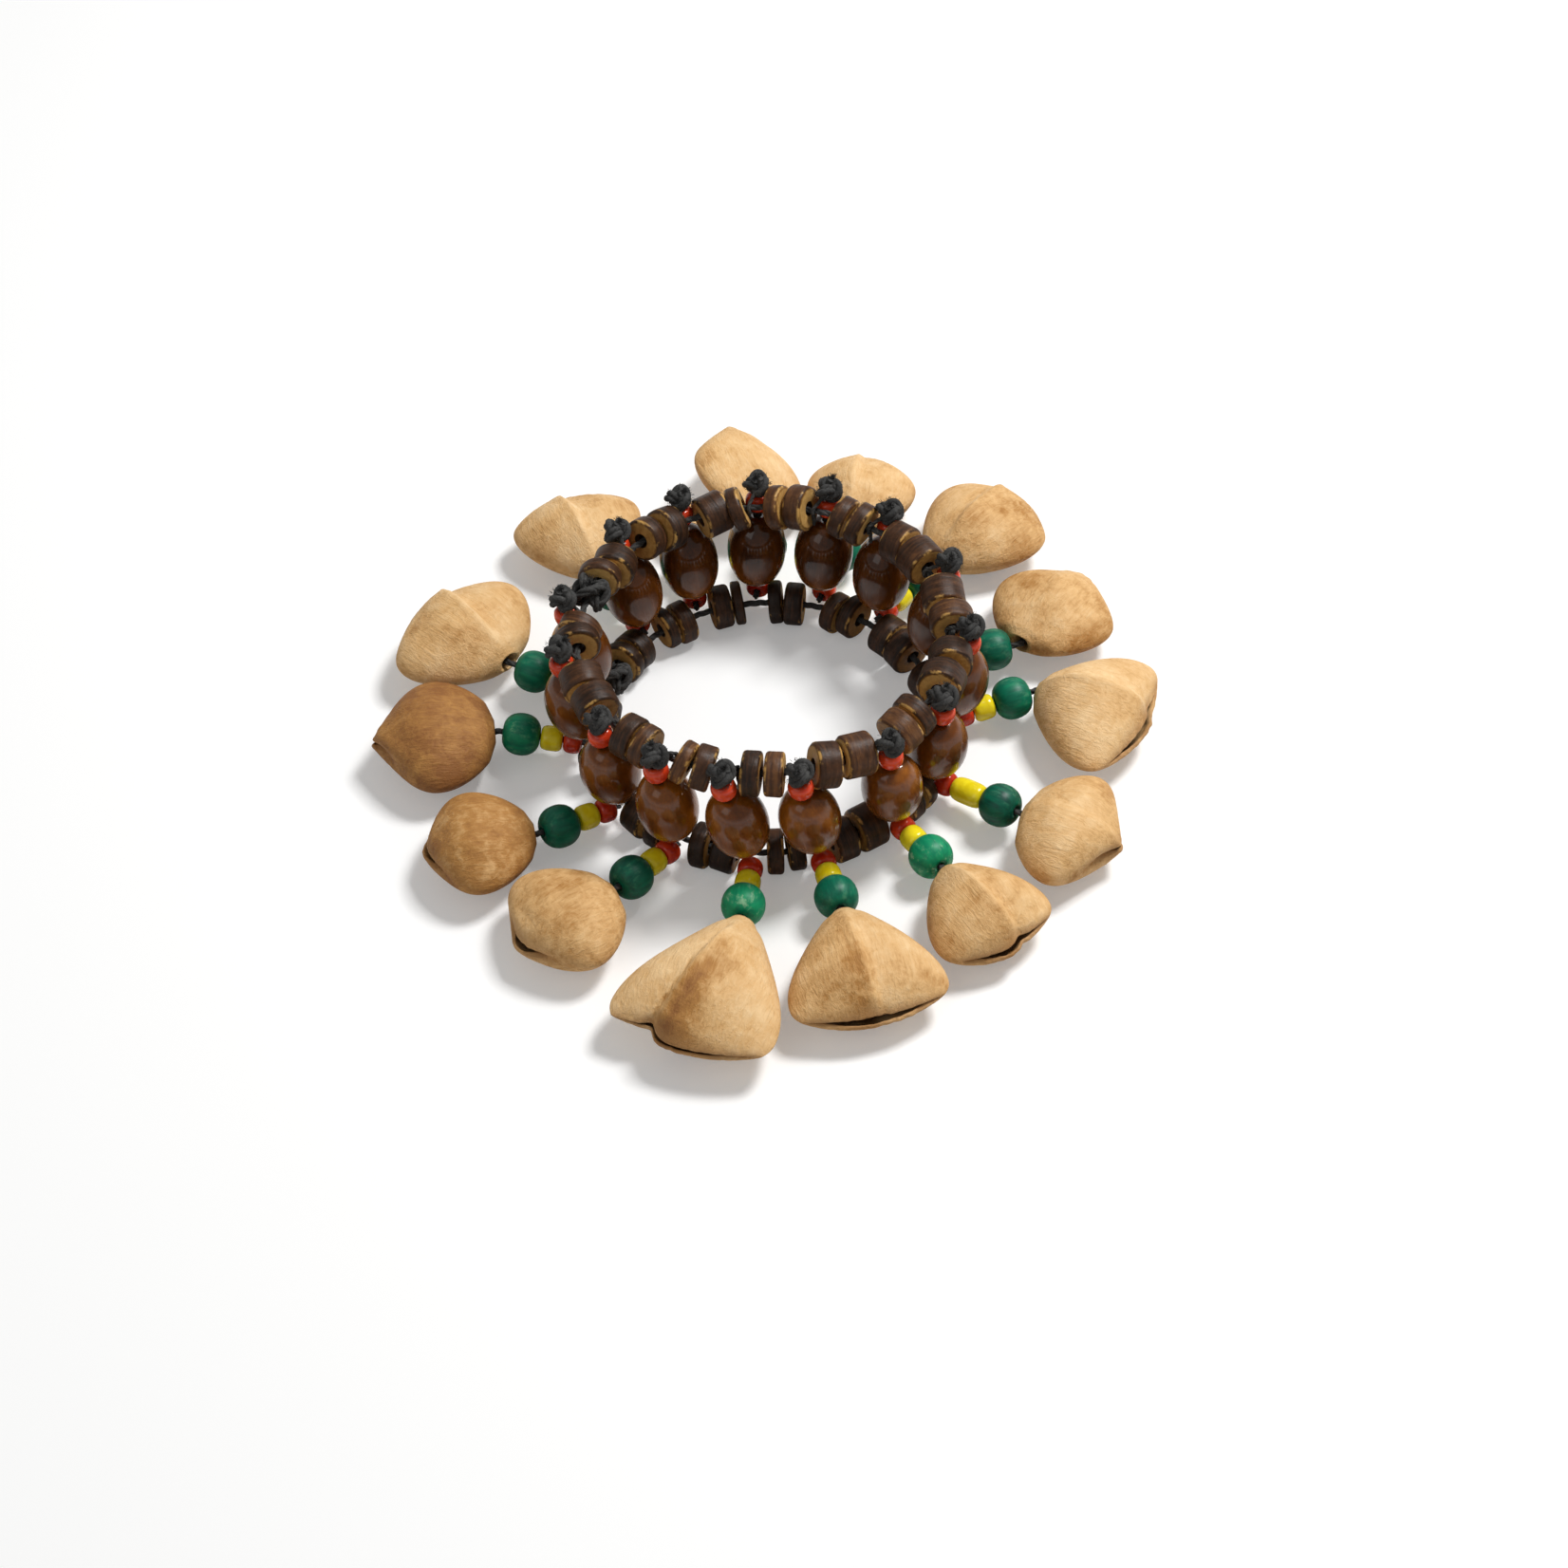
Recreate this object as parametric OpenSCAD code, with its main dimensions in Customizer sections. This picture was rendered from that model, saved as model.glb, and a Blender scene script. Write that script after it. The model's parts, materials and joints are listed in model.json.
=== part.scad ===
/* [Ring] */
// Radius of the lower elastic
ring_r = 31; // [25:0.5:40]
// How much wider the upper elastic's circle is, in radius
ring_flare = 2; // [0:0.5:4]
// Diameter of the elastic
elastic_d = 1.6; // [1:0.1:2]
// Length of the knot that closes an elastic, along it
closing_knot_len = 4.6; // [3:0.2:5]
// Diameter of the knot that closes an elastic
closing_knot_d = 5; // [4:0.2:6]
/* [Coconut discs] */
// Diameter of a disc
disc_d = 7.8; // [6.4:0.1:9.4]
// Greatest thickness of a disc
disc_t_max = 4.8; // [2.5:0.1:5.8]
// Width of the bevel on the rims of a disc
disc_bevel = 0.4; // [0.1:0.1:0.5]
// Play of a disc across its elastic
disc_play = 1; // [0.4:0.1:1.4]
/* [Upright beads] */
// Length of an oval bead
oval_len = 15; // [12:0.5:18]
// Diameter of an oval bead
oval_d = 10.8; // [8:0.1:11.4]
// Diameter of the flat at each end of an oval bead
oval_flat_d = 3.2; // [2.8:0.1:4]
// Outward lean of the cord above the upper elastic
top_lean = 4; // [0:1:12]
// How far the middle of a top red bead lies below the upper elastic
top_red_drop = 1.9; // [1:0.1:2.2]
// Bare cord between a top red bead and the knot over it
top_knot_gap = 1.1; // [0.4:0.1:2]
// Diameter of the knot on top of each cord
top_knot_d = 4; // [3:0.1:4.6]
// Length of the frayed tail above each knot
top_tail = 2.4; // [1:0.2:4]
// Diameter of the frayed tail above each knot
top_tail_d = 2; // [1.4:0.1:2.6]
/* [Strands] */
// Diameter of the strand cord
cord_d = 1.2; // [0.8:0.1:1.5]
// Upward slope of a strand, whose end the pod holds off the table
strand_rise = 8; // [4:1:12]
// Play of a bead across its cord
bead_play = 0.6; // [0.3:0.1:0.8]
// Diameter of a red glass bead
red_d = 4.5; // [3.6:0.1:5.4]
// Length of a red glass bead
red_len = 3.4; // [2.6:0.1:4.2]
// Diameter of a yellow glass bead
yellow_d = 4.6; // [3.6:0.1:5.6]
// Length of a yellow glass bead
yellow_len = 4; // [3:0.1:5]
// Length of the one long yellow bead
long_yellow_len = 6.4; // [5:0.1:8]
// Diameter of a green wooden bead
green_d = 7.7; // [6.2:0.1:9.4]
// Length of a green wooden bead along its bore
green_len = 6.8; // [5.4:0.1:8.2]
// Gap between beads on a cord
bead_gap = 0.1; // [0.05:0.05:0.4]
/* [Pods] */
// Length of a full-sized pod, tip to tip
pod_len = 29; // [24:0.5:35]
// Height of a full-sized pod, from its cord hole to its slit
pod_high = 20; // [15:0.5:23]
// Thickness of a full-sized pod
pod_thick = 13; // [11:0.5:16]
// Wall of a pod
pod_wall = 1.4; // [1:0.1:1.8]
// Wall of a pod at its cord hole, where the shell is thickest
pod_neck = 2.4; // [1.8:0.1:3]
// Width of the slit between the lips of a pod
slit_gap = 1.6; // [1:0.1:2.4]
// How far the ends of the slit stand back from its middle
slit_bow = 3; // [1:0.5:5]
// Diameter of the cord hole
hole_d = 2.6; // [2.2:0.1:3]
// Diameter of the knot inside a pod
end_knot_d = 3.4; // [3:0.1:4]
// Least gap between a pod and the table it lies on
table_gap = 0.05; // [0.02:0.01:0.3]
/* [Hidden] */
// Facets of a round face
$fn = 64;
// Each list below has one value for each of the fifteen strands, anticlockwise from the left of the ring.
// Direction in which each cord crosses the lower elastic, and the upper one
low_turn = [188, 217, 242, 266, 287, 314, 335, 361, 387, 413, 434, 455, 475, 495, 526];
top_turn = [189, 219, 240, 260, 281, 308, 330, 358, 385, 412, 432, 453, 476, 498, 529];
// Direction in which each strand lies on the table
strand_dir = [176, 212, 230, 264, 284, 301, 324, 377, 368, 409, 430, 441, 459, 483, 520];
// Direction from each pod's cord hole to its slit
pod_dir = [187, 192, 219, 250, 284, 303, 336, 334, 414, 407, 440, 471, 450, 470, 499];
// Turn of each pod about the line from its cord hole to its slit
pod_roll = [0, 0, 0, 0, 0, 0, 0, 0, 0, 0, 0, 30, 0, 0, 0];
// Size of each pod as a share of a full-sized one: length, height, thickness
pod_size = [
    [0.92, 1.08, 1.00], [0.86, 0.96, 1.00], [0.90, 0.98, 1.00], [1.01, 1.29, 1.08], [0.97, 1.11, 1.00],
    [0.81, 1.01, 0.95], [0.93, 0.90, 1.00], [1.03, 1.04, 1.00], [0.86, 1.04, 0.90], [0.88, 1.13, 0.95],
    [0.78, 1.00, 0.90], [0.80, 1.28, 0.84], [0.50, 0.62, 0.66], [0.90, 1.00, 0.95], [1.10, 1.04, 1.00]
];
// Bare cord between the green bead and the pod
tail = [0.6, 0.6, 0.7, 3.9, 2.4, 1.0, 0.6, 1.0, 1.6, 1.6, 1.5, 2.7, 0.6, 1.5, 1.5];
// The strand with the long yellow bead, and the gap between cords that holds the closing knots
long_bead_strand = 6;
knot_gap = 13;
// Share of a gap's disc length that its first disc takes
disc_share = [0.5, 0.55, 0.42, 0.5, 0.46, 0.56, 0.5, 0.44, 0.52, 0.5, 0.58, 0.34, 0.55, 0.6, 0.5];
// Share of its radius that is left at the ends of a bead or of a closing knot
red_ends = 0.7;
yellow_ends = 0.82;
green_ends = 0.48;
closing_knot_ends = 0.6;
// Profile of a knot along its cord: share of its diameter from its middle, share of its radius
knot_profile = [[-0.42, 0.62], [-0.25, 0.9], [0, 1], [0.25, 0.88], [0.42, 0.6]];
// Profile of a pod from its cord hole to its slit: share of the height, half length of a wide-mouthed pod,
// half length of a drop-shaped pod, half thickness
pod_profile = [
    [0.00, 0.24, 0.30, 0.36], [0.06, 0.38, 0.50, 0.58], [0.16, 0.54, 0.72, 0.78],
    [0.32, 0.74, 0.93, 0.95], [0.50, 0.90, 1.00, 1.00], [0.68, 0.99, 0.93, 0.93],
    [0.84, 1.00, 0.72, 0.70], [0.94, 0.97, 0.50, 0.44], [1.00, 0.92, 0.34, 0.24]
];
// How far each pod goes from the wide-mouthed form to the drop-shaped one
pod_drop = [0.9, 0.55, 0.6, 0, 0.05, 0.15, 0.8, 0.15, 0.8, 0.3, 0.4, 1, 0.5, 0.2, 0.5];
// The profile row that the hollow of a pod starts from, and the share of that row left at its cord hole
hollow_row = 2;
neck_share = 0.6;
// Share of the wall that is left at the lips, and how much thicker it is at the tips
lip_share = 0.7;
tip_share = 1.6;
// Sides of a pod's cross-section, and how its rounded faces run out to thin tips
pod_sides = 18;
tip_power = 1.8;
face_power = 0.75;
// Range of tilts in which a pod can lie, and how often it is halved
tilt_range = [-40, 60];
tilt_halvings = 14;
// Turns about the upper elastic, seen in its cross-section, through which a cord's second ply passes
loop_turns = [255, 210, 165, 120];
// Steps along the side of a bead
side_steps = 16;
// Sides of a cord
cord_sides = 8;
// Turns at which the round end of a strand's cord has a ring
round_end = [66, 33, 0];
// Ease between cords, elastics and the pieces beside them
ease = 0.1;
shoulder_ease = 0.8;
disc_ease = 0.2;
// How far a strand's first bead reaches in between the discs from their rims
rim_lap = 1.2;
// Share of their own length that pods take up side by side on their circle
pod_crowd = 0.8;

strand_count = len(low_turn);
last = strand_count - 1;
top_r = ring_r + ring_flare;
// The cords pass outside the elastics
cord_offset = (elastic_d + cord_d) / 2 + ease;
low_cord_r = ring_r + cord_offset;
// The top red bead lies against the upper elastic, outside and below it
top_red_reach = sqrt(pow((elastic_d + red_d) / 2 + ease, 2) - pow(top_red_drop, 2));
// Width that a cord and its red bead take between discs
crossing_w = red_d + 2 * disc_ease;
low_z = max(disc_d / 2, green_d / 2 + ease);
// Height over an oval's middle at which a disc's rim just clears the oval's shoulder
rim_steps = 20;
function shoulder(e) =
    let (past = 1 - (pow(crossing_w / 2, 2) + pow(e - cord_offset, 2)) / pow(oval_d / 2, 2))
    sqrt(pow(disc_d / 2, 2) - e * e) + oval_len / 2 * sqrt(max(0, past));
half_rise = max([for (k = [-rim_steps:rim_steps]) shoulder(k / rim_steps * disc_d / 2)]) + shoulder_ease;
top_z = low_z + 2 * half_rise;
disc_bore = elastic_d + disc_play;
bead_bore = cord_d + bead_play;

function around(r, turn, z) = [r * cos(turn), r * sin(turn), z];
function unit(v) = v / norm(v);
function flat_dir(turn) = [cos(turn), sin(turn), 0];
function low_point(i) = around(low_cord_r, low_turn[i], low_z);
function top_red(i) = around(top_r + top_red_reach, top_turn[i], top_z - top_red_drop);

// Strand pieces, measured along the strand from its hinge at the lower elastic
function yellow_size(i) = i == long_bead_strand ? long_yellow_len : yellow_len;
strand_start = disc_d / 2 - cord_offset - rim_lap;
red_at = strand_start + red_len / 2;
function yellow_at(i) = red_at + (red_len + yellow_size(i)) / 2 + bead_gap;
function green_at(i) = yellow_at(i) + (yellow_size(i) + green_len) / 2 + bead_gap;
// Pods lie side by side on their circle, so long pods need longer cords
pod_need = strand_count * pod_len * pod_crowd / (2 * PI) - pod_high / 2 - low_cord_r;
function elbow_at(i) = max(green_at(i) + green_len / 2, pod_need) + tail[i];
function strand_line(i) = cos(strand_rise) * flat_dir(strand_dir[i]) + [0, 0, sin(strand_rise)];
function elbow(i) = low_point(i) + elbow_at(i) * strand_line(i);

// A pod in its own frame: the middle of its cord hole at the origin, its slit along +X, its length along Y
function lens(u) = pow(max(0, 1 - pow(abs(u), tip_power)), face_power);
function pod_ring(i, row, inset) =
    let (
        p = pod_profile[row],
        high = pod_high * pod_size[i][1],
        width = p[1] + (p[2] - p[1]) * pod_drop[i],
        half = width * pod_len * pod_size[i][0] / 2 - inset * tip_share,
        thinning = (1 - lip_share) * pow(p[0], 3),
        lip = slit_gap / 2 + pod_wall * lip_share,
        rise = max(p[3] * pod_thick * pod_size[i][2] / 2, lip) - inset * (1 - thinning)
    )
    [for (k = [0:pod_sides - 1])
        let (a = 360 * k / pod_sides, u = cos(a))
        [
            p[0] * high - slit_bow * p[0] * p[0] * u * u - pod_neck / 2,
            half * u,
            rise * (a > 180 ? -1 : 1) * lens(u)
        ]
    ];
function neck_ring(i) =
    [for (q = pod_ring(i, hollow_row, pod_wall)) [pod_neck / 2, q.y * neck_share, q.z * neck_share]];
function pod_points(i) = concat(
    [for (row = [0:len(pod_profile) - 1]) each pod_ring(i, row, 0)],
    [for (row = [len(pod_profile) - 1:-1:hollow_row]) each pod_ring(i, row, pod_wall)],
    neck_ring(i)
);
pod_rings = 2 * len(pod_profile) - hollow_row + 1;
function corner(ring, k) = ring * pod_sides + k % pod_sides;
pod_faces = concat(
    [[for (k = [0:pod_sides - 1]) k]],
    [for (ring = [0:pod_rings - 2], k = [0:pod_sides - 1])
        each [
            [corner(ring, k), corner(ring + 1, k), corner(ring + 1, k + 1)],
            [corner(ring, k), corner(ring + 1, k + 1), corner(ring, k + 1)]
        ]
    ],
    [[for (k = [pod_sides - 1:-1:0]) corner(pod_rings - 1, k)]]
);

// A pod leans on the table: its tilt is found by halving the range in which its lowest point meets the table
function tilted_z(q, roll, tilt) =
    let (z = q.y * sin(roll) + q.z * cos(roll)) q.x * sin(tilt) + z * cos(tilt);
function lowest(i, tilt) = min([for (q = pod_points(i)) tilted_z(q, pod_roll[i], tilt)]);
function hole_z(i, tilt) = elbow(i).z + (pod_neck / 2 + cord_d) * sin(tilt);
function settle(i, low, high, halvings) =
    let (mid = (low + high) / 2)
    halvings == 0 ? mid
    : lowest(i, mid) + hole_z(i, mid) < table_gap ? settle(i, mid, high, halvings - 1)
    : settle(i, low, mid, halvings - 1);
pod_tilt = [for (i = [0:last]) settle(i, tilt_range[0], tilt_range[1], tilt_halvings)];
function pod_axis(i) =
    [cos(pod_tilt[i]) * cos(pod_dir[i]), cos(pod_tilt[i]) * sin(pod_dir[i]), sin(pod_tilt[i])];
function hole(i) = elbow(i) + (pod_neck / 2 + cord_d) * pod_axis(i);

function two_digits(i) = str(i < 9 ? "0" : "", i + 1);
RING_NODES = [
    "upper_elastic", "lower_elastic", "upper_discs", "lower_discs",
    "oval_beads", "top_red_beads", "upright_cords"
];

// Turns +Z to point along v
module aim(v) {
    rotate([0, acos(v.z / norm(v)), atan2(v.y, v.x)]) children();
}

// A cord swept along a path of [point, radius] rows; across is any direction that the path never takes
function heading(path, k) =
    unit(path[min(k + 1, len(path) - 1)][0] - path[max(k - 1, 0)][0]);
function cord_ring(path, k, across) =
    let (d = heading(path, k), side = unit(cross(d, across)), up = cross(side, d))
    [for (a = [0:cord_sides - 1])
        path[k][0] + path[k][1] * (cos(360 * a / cord_sides) * side + sin(360 * a / cord_sides) * up)
    ];
module swept_cord(path, across) {
    n = cord_sides;
    rings = len(path);
    points = [for (k = [0:rings - 1]) each cord_ring(path, k, across)];
    sides = [for (k = [0:rings - 2], a = [0:n - 1])
        each [
            [k * n + a, k * n + (a + 1) % n, (k + 1) * n + (a + 1) % n],
            [k * n + a, (k + 1) * n + (a + 1) % n, (k + 1) * n + a]
        ]
    ];
    start = [for (a = [n - 1:-1:0]) a];
    end = [for (a = [0:n - 1]) (rings - 1) * n + a];
    polyhedron(points, concat([start], sides, [end]));
}
// Rows of a path that swell into a knot of diameter d round a point
function knot_rows(middle, dir, d) =
    [for (row = knot_profile) [middle + row[0] * d * dir, row[1] * d / 2]];

// A turned bead on the Z axis, whose side is one arc; ends is the share of its radius left at its ends
module bead(d, length, ends, bore) {
    sag = (1 - ends) * d / 2;
    side_r = (sag * sag + length * length / 4) / (2 * sag);
    half_turn = asin(length / 2 / side_r);
    side = [for (k = [0:side_steps])
        let (a = half_turn * (2 * k / side_steps - 1))
        [d / 2 - side_r * (1 - cos(a)), side_r * sin(a)]
    ];
    rotate_extrude()
        polygon(concat([[bore / 2, -length / 2]], side, [[bore / 2, length / 2]]));
}

// An oval bead: an ellipse turned about its bore, with a small flat at each end
module oval_bead() {
    cut = acos(oval_flat_d / oval_d);
    side = [for (k = [0:side_steps])
        let (a = cut * (2 * k / side_steps - 1))
        [oval_d / 2 * cos(a), oval_len / 2 * sin(a) / sin(cut)]
    ];
    rotate_extrude()
        polygon(concat([[bead_bore / 2, -oval_len / 2]], side, [[bead_bore / 2, oval_len / 2]]));
}

// A coconut-shell disc on the Z axis
module disc(thick) {
    r = disc_d / 2;
    h = thick / 2;
    b = min(disc_bevel, thick / 4);
    rotate_extrude() polygon([
        [disc_bore / 2, -h], [r - b, -h], [r, b - h], [r, h - b], [r - b, h], [disc_bore / 2, h]
    ]);
}

// Two discs in every gap between cords, on a circle of radius r, set apart so that their inner rims clear
module disc_ring(r, turns, z) {
    inner_share = 1 - disc_d / 2 / r;
    for (i = [0:last]) {
        from = turns[i];
        to = i == last ? turns[0] + 360 : turns[i + 1];
        knot = i == knot_gap ? closing_knot_len + 2 * disc_ease : 0;
        room = (to - from) * PI / 180 * r - crossing_w - knot;
        both = min((2 * inner_share * room - 2 * disc_ease) / (1 + inner_share), 2 * disc_t_max);
        gap = (disc_ease + both / 2 * (1 - inner_share)) / inner_share;
        first = both * disc_share[i];
        second = both - first;
        start = crossing_w / 2 + (room - both - gap) / 2;
        for (place = [[start + first / 2, first], [start + first + gap + second / 2, second]])
            rotate(from + place[0] / r * 180 / PI)
                translate([r, 0, z]) rotate([90, 0, 0]) disc(place[1]);
    }
}

// An elastic tied into a ring, with its closing knot beside a cord
module elastic(r, turns, z) {
    knot_turn = turns[knot_gap + 1] - (crossing_w + closing_knot_len) / 2 / r * 180 / PI;
    color([0.09, 0.09, 0.1]) {
        translate([0, 0, z]) rotate_extrude($fn = 128) translate([r, 0]) circle(d = elastic_d);
        rotate(knot_turn) translate([r, 0, z]) rotate([90, 0, 0])
            bead(closing_knot_d, closing_knot_len, closing_knot_ends, elastic_d / 2);
    }
}

module upper_elastic() {
    elastic(top_r, top_turn, top_z);
}

module lower_elastic() {
    elastic(ring_r, low_turn, low_z);
}

module upper_discs() {
    color([0.3, 0.18, 0.1]) disc_ring(top_r, top_turn, top_z);
}

module lower_discs() {
    color([0.2, 0.13, 0.08]) disc_ring(ring_r, low_turn, low_z);
}

// An oval bead lies halfway between the elastics, on the line from its strand's hinge to its top red bead
mid_share = half_rise / (2 * half_rise - top_red_drop);
function oval_dir(i) = unit(top_red(i) - low_point(i));
function oval_mid(i) = low_point(i) + mid_share * (top_red(i) - low_point(i));
function oval_top(i) = oval_mid(i) + oval_len / 2 * oval_dir(i);

// Over the red bead the cord goes up to its knot
function top_dir(i) = sin(top_lean) * flat_dir(top_turn[i]) + [0, 0, cos(top_lean)];
function red_end(i) = top_red(i) + red_len / 2 * oval_dir(i);
function top_knot(i) = red_end(i) + (top_knot_d / 2 + top_knot_gap) * top_dir(i);

module oval_beads() {
    color([0.33, 0.14, 0.05]) for (i = [0:last])
        translate(oval_mid(i)) aim(oval_dir(i)) oval_bead();
}

module top_red_beads() {
    color([0.8, 0.16, 0.08]) for (i = [0:last])
        translate(top_red(i)) aim(oval_dir(i))
            bead(red_d, red_len, red_ends, bead_bore);
}

// The upright part of each cord, with the knot that stops it above the top red bead
module upright_cord(i) {
    r = cord_d / 2;
    out = top_dir(i);
    knot = top_knot(i);
    knot_end = knot + top_knot_d / 2 * out;
    swept_cord(concat(
        [
            [low_point(i) + cord_offset * (oval_dir(i) - flat_dir(low_turn[i])), r],
            [oval_top(i) - oval_len * oval_dir(i), r],
            [oval_top(i), r],
            [red_end(i), r],
            [knot - top_knot_d / 2 * out, r]
        ],
        knot_rows(knot, out, top_knot_d),
        [[knot_end, (r + top_tail_d / 2) / 2], [knot_end + top_tail * out, top_tail_d / 2]]
    ), flat_dir(top_turn[i] + 90));
}

// The cord's second ply, which goes from the oval bead round the inside of the upper elastic to the knot
module elastic_loop(i) {
    r = cord_d / 2;
    radial = flat_dir(top_turn[i]);
    middle = around(top_r, top_turn[i], top_z);
    knot_side = cos(top_lean) * radial - [0, 0, sin(top_lean)];
    swept_cord(concat(
        [[oval_top(i) + (r + ease) * oval_dir(i) - (red_d / 2 + r + ease) * radial, r]],
        [for (a = loop_turns) [middle + cord_offset * (cos(a) * radial + [0, 0, sin(a)]), r]],
        [[top_knot(i) - (top_knot_d / 2 + r) * knot_side, r]]
    ), flat_dir(top_turn[i] + 90));
}

module upright_cords() {
    color([0.09, 0.09, 0.1]) for (i = [0:last]) {
        upright_cord(i);
        elastic_loop(i);
    }
}

module seed_pod(i) {
    color([0.8, 0.63, 0.42]) translate(hole(i))
        rotate([0, -pod_tilt[i], pod_dir[i]]) rotate([pod_roll[i], 0, 0]) difference() {
            polyhedron(pod_points(i), pod_faces);
            rotate([0, 90, 0]) cylinder(d = hole_d, h = 2 * pod_neck, center = true);
        }
}

// The red, yellow and green beads of one strand
module strand_beads(i) {
    translate(low_point(i)) aim(strand_line(i)) {
        color([0.72, 0.12, 0.08]) translate([0, 0, red_at]) bead(red_d, red_len, red_ends, bead_bore);
        color([0.88, 0.8, 0.1]) translate([0, 0, yellow_at(i)])
            bead(yellow_d, yellow_size(i), yellow_ends, bead_bore);
        color([0.02, 0.45, 0.28]) translate([0, 0, green_at(i)])
            bead(green_d, green_len, green_ends, bead_bore);
    }
}

// The cord of one strand: from its hinge, along its beads, through the pod's hole, to the knot inside
module strand_cord(i) {
    r = cord_d / 2;
    along = strand_line(i);
    inward = pod_axis(i);
    knot = hole(i) + (pod_neck / 2 + ease + end_knot_d / 2) * inward;
    color([0.09, 0.09, 0.1]) swept_cord(concat(
        [for (a = round_end) [low_point(i) - r * sin(a) * along, r * cos(a)]],
        [
            [elbow(i) - r * along, r],
            [elbow(i) + r * inward, r],
            [knot - end_knot_d / 2 * inward, r]
        ],
        knot_rows(knot, inward, end_knot_d),
        [[knot + end_knot_d / 2 * inward, r / 2]]
    ), [0, 0, 1]);
}

upper_elastic();
lower_elastic();
upper_discs();
lower_discs();
oval_beads();
top_red_beads();
upright_cords();
for (i = [0:last]) {
    seed_pod(i);
    strand_beads(i);
    strand_cord(i);
}

// Where each strand and each pod turns
for (i = [0:last]) echo(strand = i + 1, hinge = low_point(i), pod_hinge = hole(i), pod_tilt = pod_tilt[i]);
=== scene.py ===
# %% [markdown]
# # A seed shaker bracelet
# Fifteen hollow seed pods hang on beaded cords from a stretch bracelet of coconut discs and oval wooden
# beads. The construction comes in as a fixed frame at its real size. This lesson gives every piece of it
# the shape and the finish of the real thing: split pods, lacquered wood, worn coconut rims, glossy glass
# and frayed black cord. Each step first says what the piece is, and then makes it.

# %% The frame
import json
import math
import random
from dataclasses import dataclass

import bmesh
import bpy
import numpy as np
from mathutils import Matrix, Vector, noise


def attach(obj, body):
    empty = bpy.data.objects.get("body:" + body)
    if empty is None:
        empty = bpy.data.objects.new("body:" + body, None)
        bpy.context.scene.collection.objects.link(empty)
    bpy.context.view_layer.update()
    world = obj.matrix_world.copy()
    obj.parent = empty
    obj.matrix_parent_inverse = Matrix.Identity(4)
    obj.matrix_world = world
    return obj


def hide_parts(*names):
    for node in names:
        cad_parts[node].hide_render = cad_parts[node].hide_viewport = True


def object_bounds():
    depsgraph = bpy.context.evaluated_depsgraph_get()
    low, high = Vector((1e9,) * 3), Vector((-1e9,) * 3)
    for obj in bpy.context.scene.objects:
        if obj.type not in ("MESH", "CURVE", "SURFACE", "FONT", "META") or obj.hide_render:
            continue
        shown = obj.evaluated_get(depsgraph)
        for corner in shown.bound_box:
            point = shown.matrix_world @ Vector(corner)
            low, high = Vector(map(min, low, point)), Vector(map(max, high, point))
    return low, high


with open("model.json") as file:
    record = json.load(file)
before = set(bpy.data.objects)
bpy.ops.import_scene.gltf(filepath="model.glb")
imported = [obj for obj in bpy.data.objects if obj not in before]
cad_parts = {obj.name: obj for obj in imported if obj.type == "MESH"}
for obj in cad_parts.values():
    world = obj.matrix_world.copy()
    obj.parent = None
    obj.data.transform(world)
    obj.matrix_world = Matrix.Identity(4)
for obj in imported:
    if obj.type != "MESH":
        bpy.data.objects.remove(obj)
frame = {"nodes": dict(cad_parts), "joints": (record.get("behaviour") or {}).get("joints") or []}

MM = 0.001
FLOOR_CLEAR = 0.05 * MM
STRANDS = range(1, 16)
cad_low, cad_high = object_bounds()
joints = {joint["name"]: joint for joint in frame["joints"]}
frame_size = [round(v / MM, 1) for v in cad_high - cad_low]
print("frame:", len(frame["nodes"]), "nodes,", len(joints), "joints,", frame_size, "mm")

# %% [markdown]
# ## The camera
# A product photograph is taken with a long lens from a little way off. A camera could be moved by hand
# until the picture fits. Here it is worked out from how the object was seen: how high above the table and
# how far round the viewer stood, how far the picture was turned, how many millimetres one pixel covers,
# and the pixel where the ring's middle stands on the table. The lens and the place of the camera follow
# from those.

# %% Camera
PHOTO_SIDE = 1652
MIDDLE_PIXEL = (810, 778)
PIXEL = 0.172 * MM
ELEVATION, AZIMUTH, ROLL = (math.radians(v) for v in (47.5, -2.4, -2.3))
CAMERA_DISTANCE = 650 * MM
SENSOR_MM = 36

back = Vector((
    -math.sin(AZIMUTH) * math.cos(ELEVATION),
    -math.cos(AZIMUTH) * math.cos(ELEVATION),
    math.sin(ELEVATION),
))
level = Vector((math.cos(AZIMUTH), -math.sin(AZIMUTH), 0))
right = Matrix.Rotation(ROLL, 3, back) @ level
up = back.cross(right)
aside = (PHOTO_SIDE / 2 - MIDDLE_PIXEL[0]) * PIXEL
above = (MIDDLE_PIXEL[1] - PHOTO_SIDE / 2) * PIXEL
camera_data = bpy.data.cameras.new("camera")
camera_data.sensor_width = SENSOR_MM
camera_data.lens = SENSOR_MM * CAMERA_DISTANCE / (PHOTO_SIDE * PIXEL)
camera = bpy.data.objects.new("camera", camera_data)
bpy.context.scene.collection.objects.link(camera)
camera.matrix_world = Matrix.Translation(aside * right + above * up + CAMERA_DISTANCE * back) @ (
    Matrix((right, up, back)).transposed().to_4x4()
)
bpy.context.scene.camera = camera
print("camera: lens", round(camera_data.lens, 1), "mm")

# %% [markdown]
# ## Shader maths
# A material is a small network of nodes. Written out node by node it is long and hard to read, so one
# class wraps an output socket. Python's operators on it add Math nodes, and its method `node` adds any
# other kind: first the settings of the node are given, then what goes into its sockets. A few helpers on
# top of it name what the finishes need most.

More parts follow.
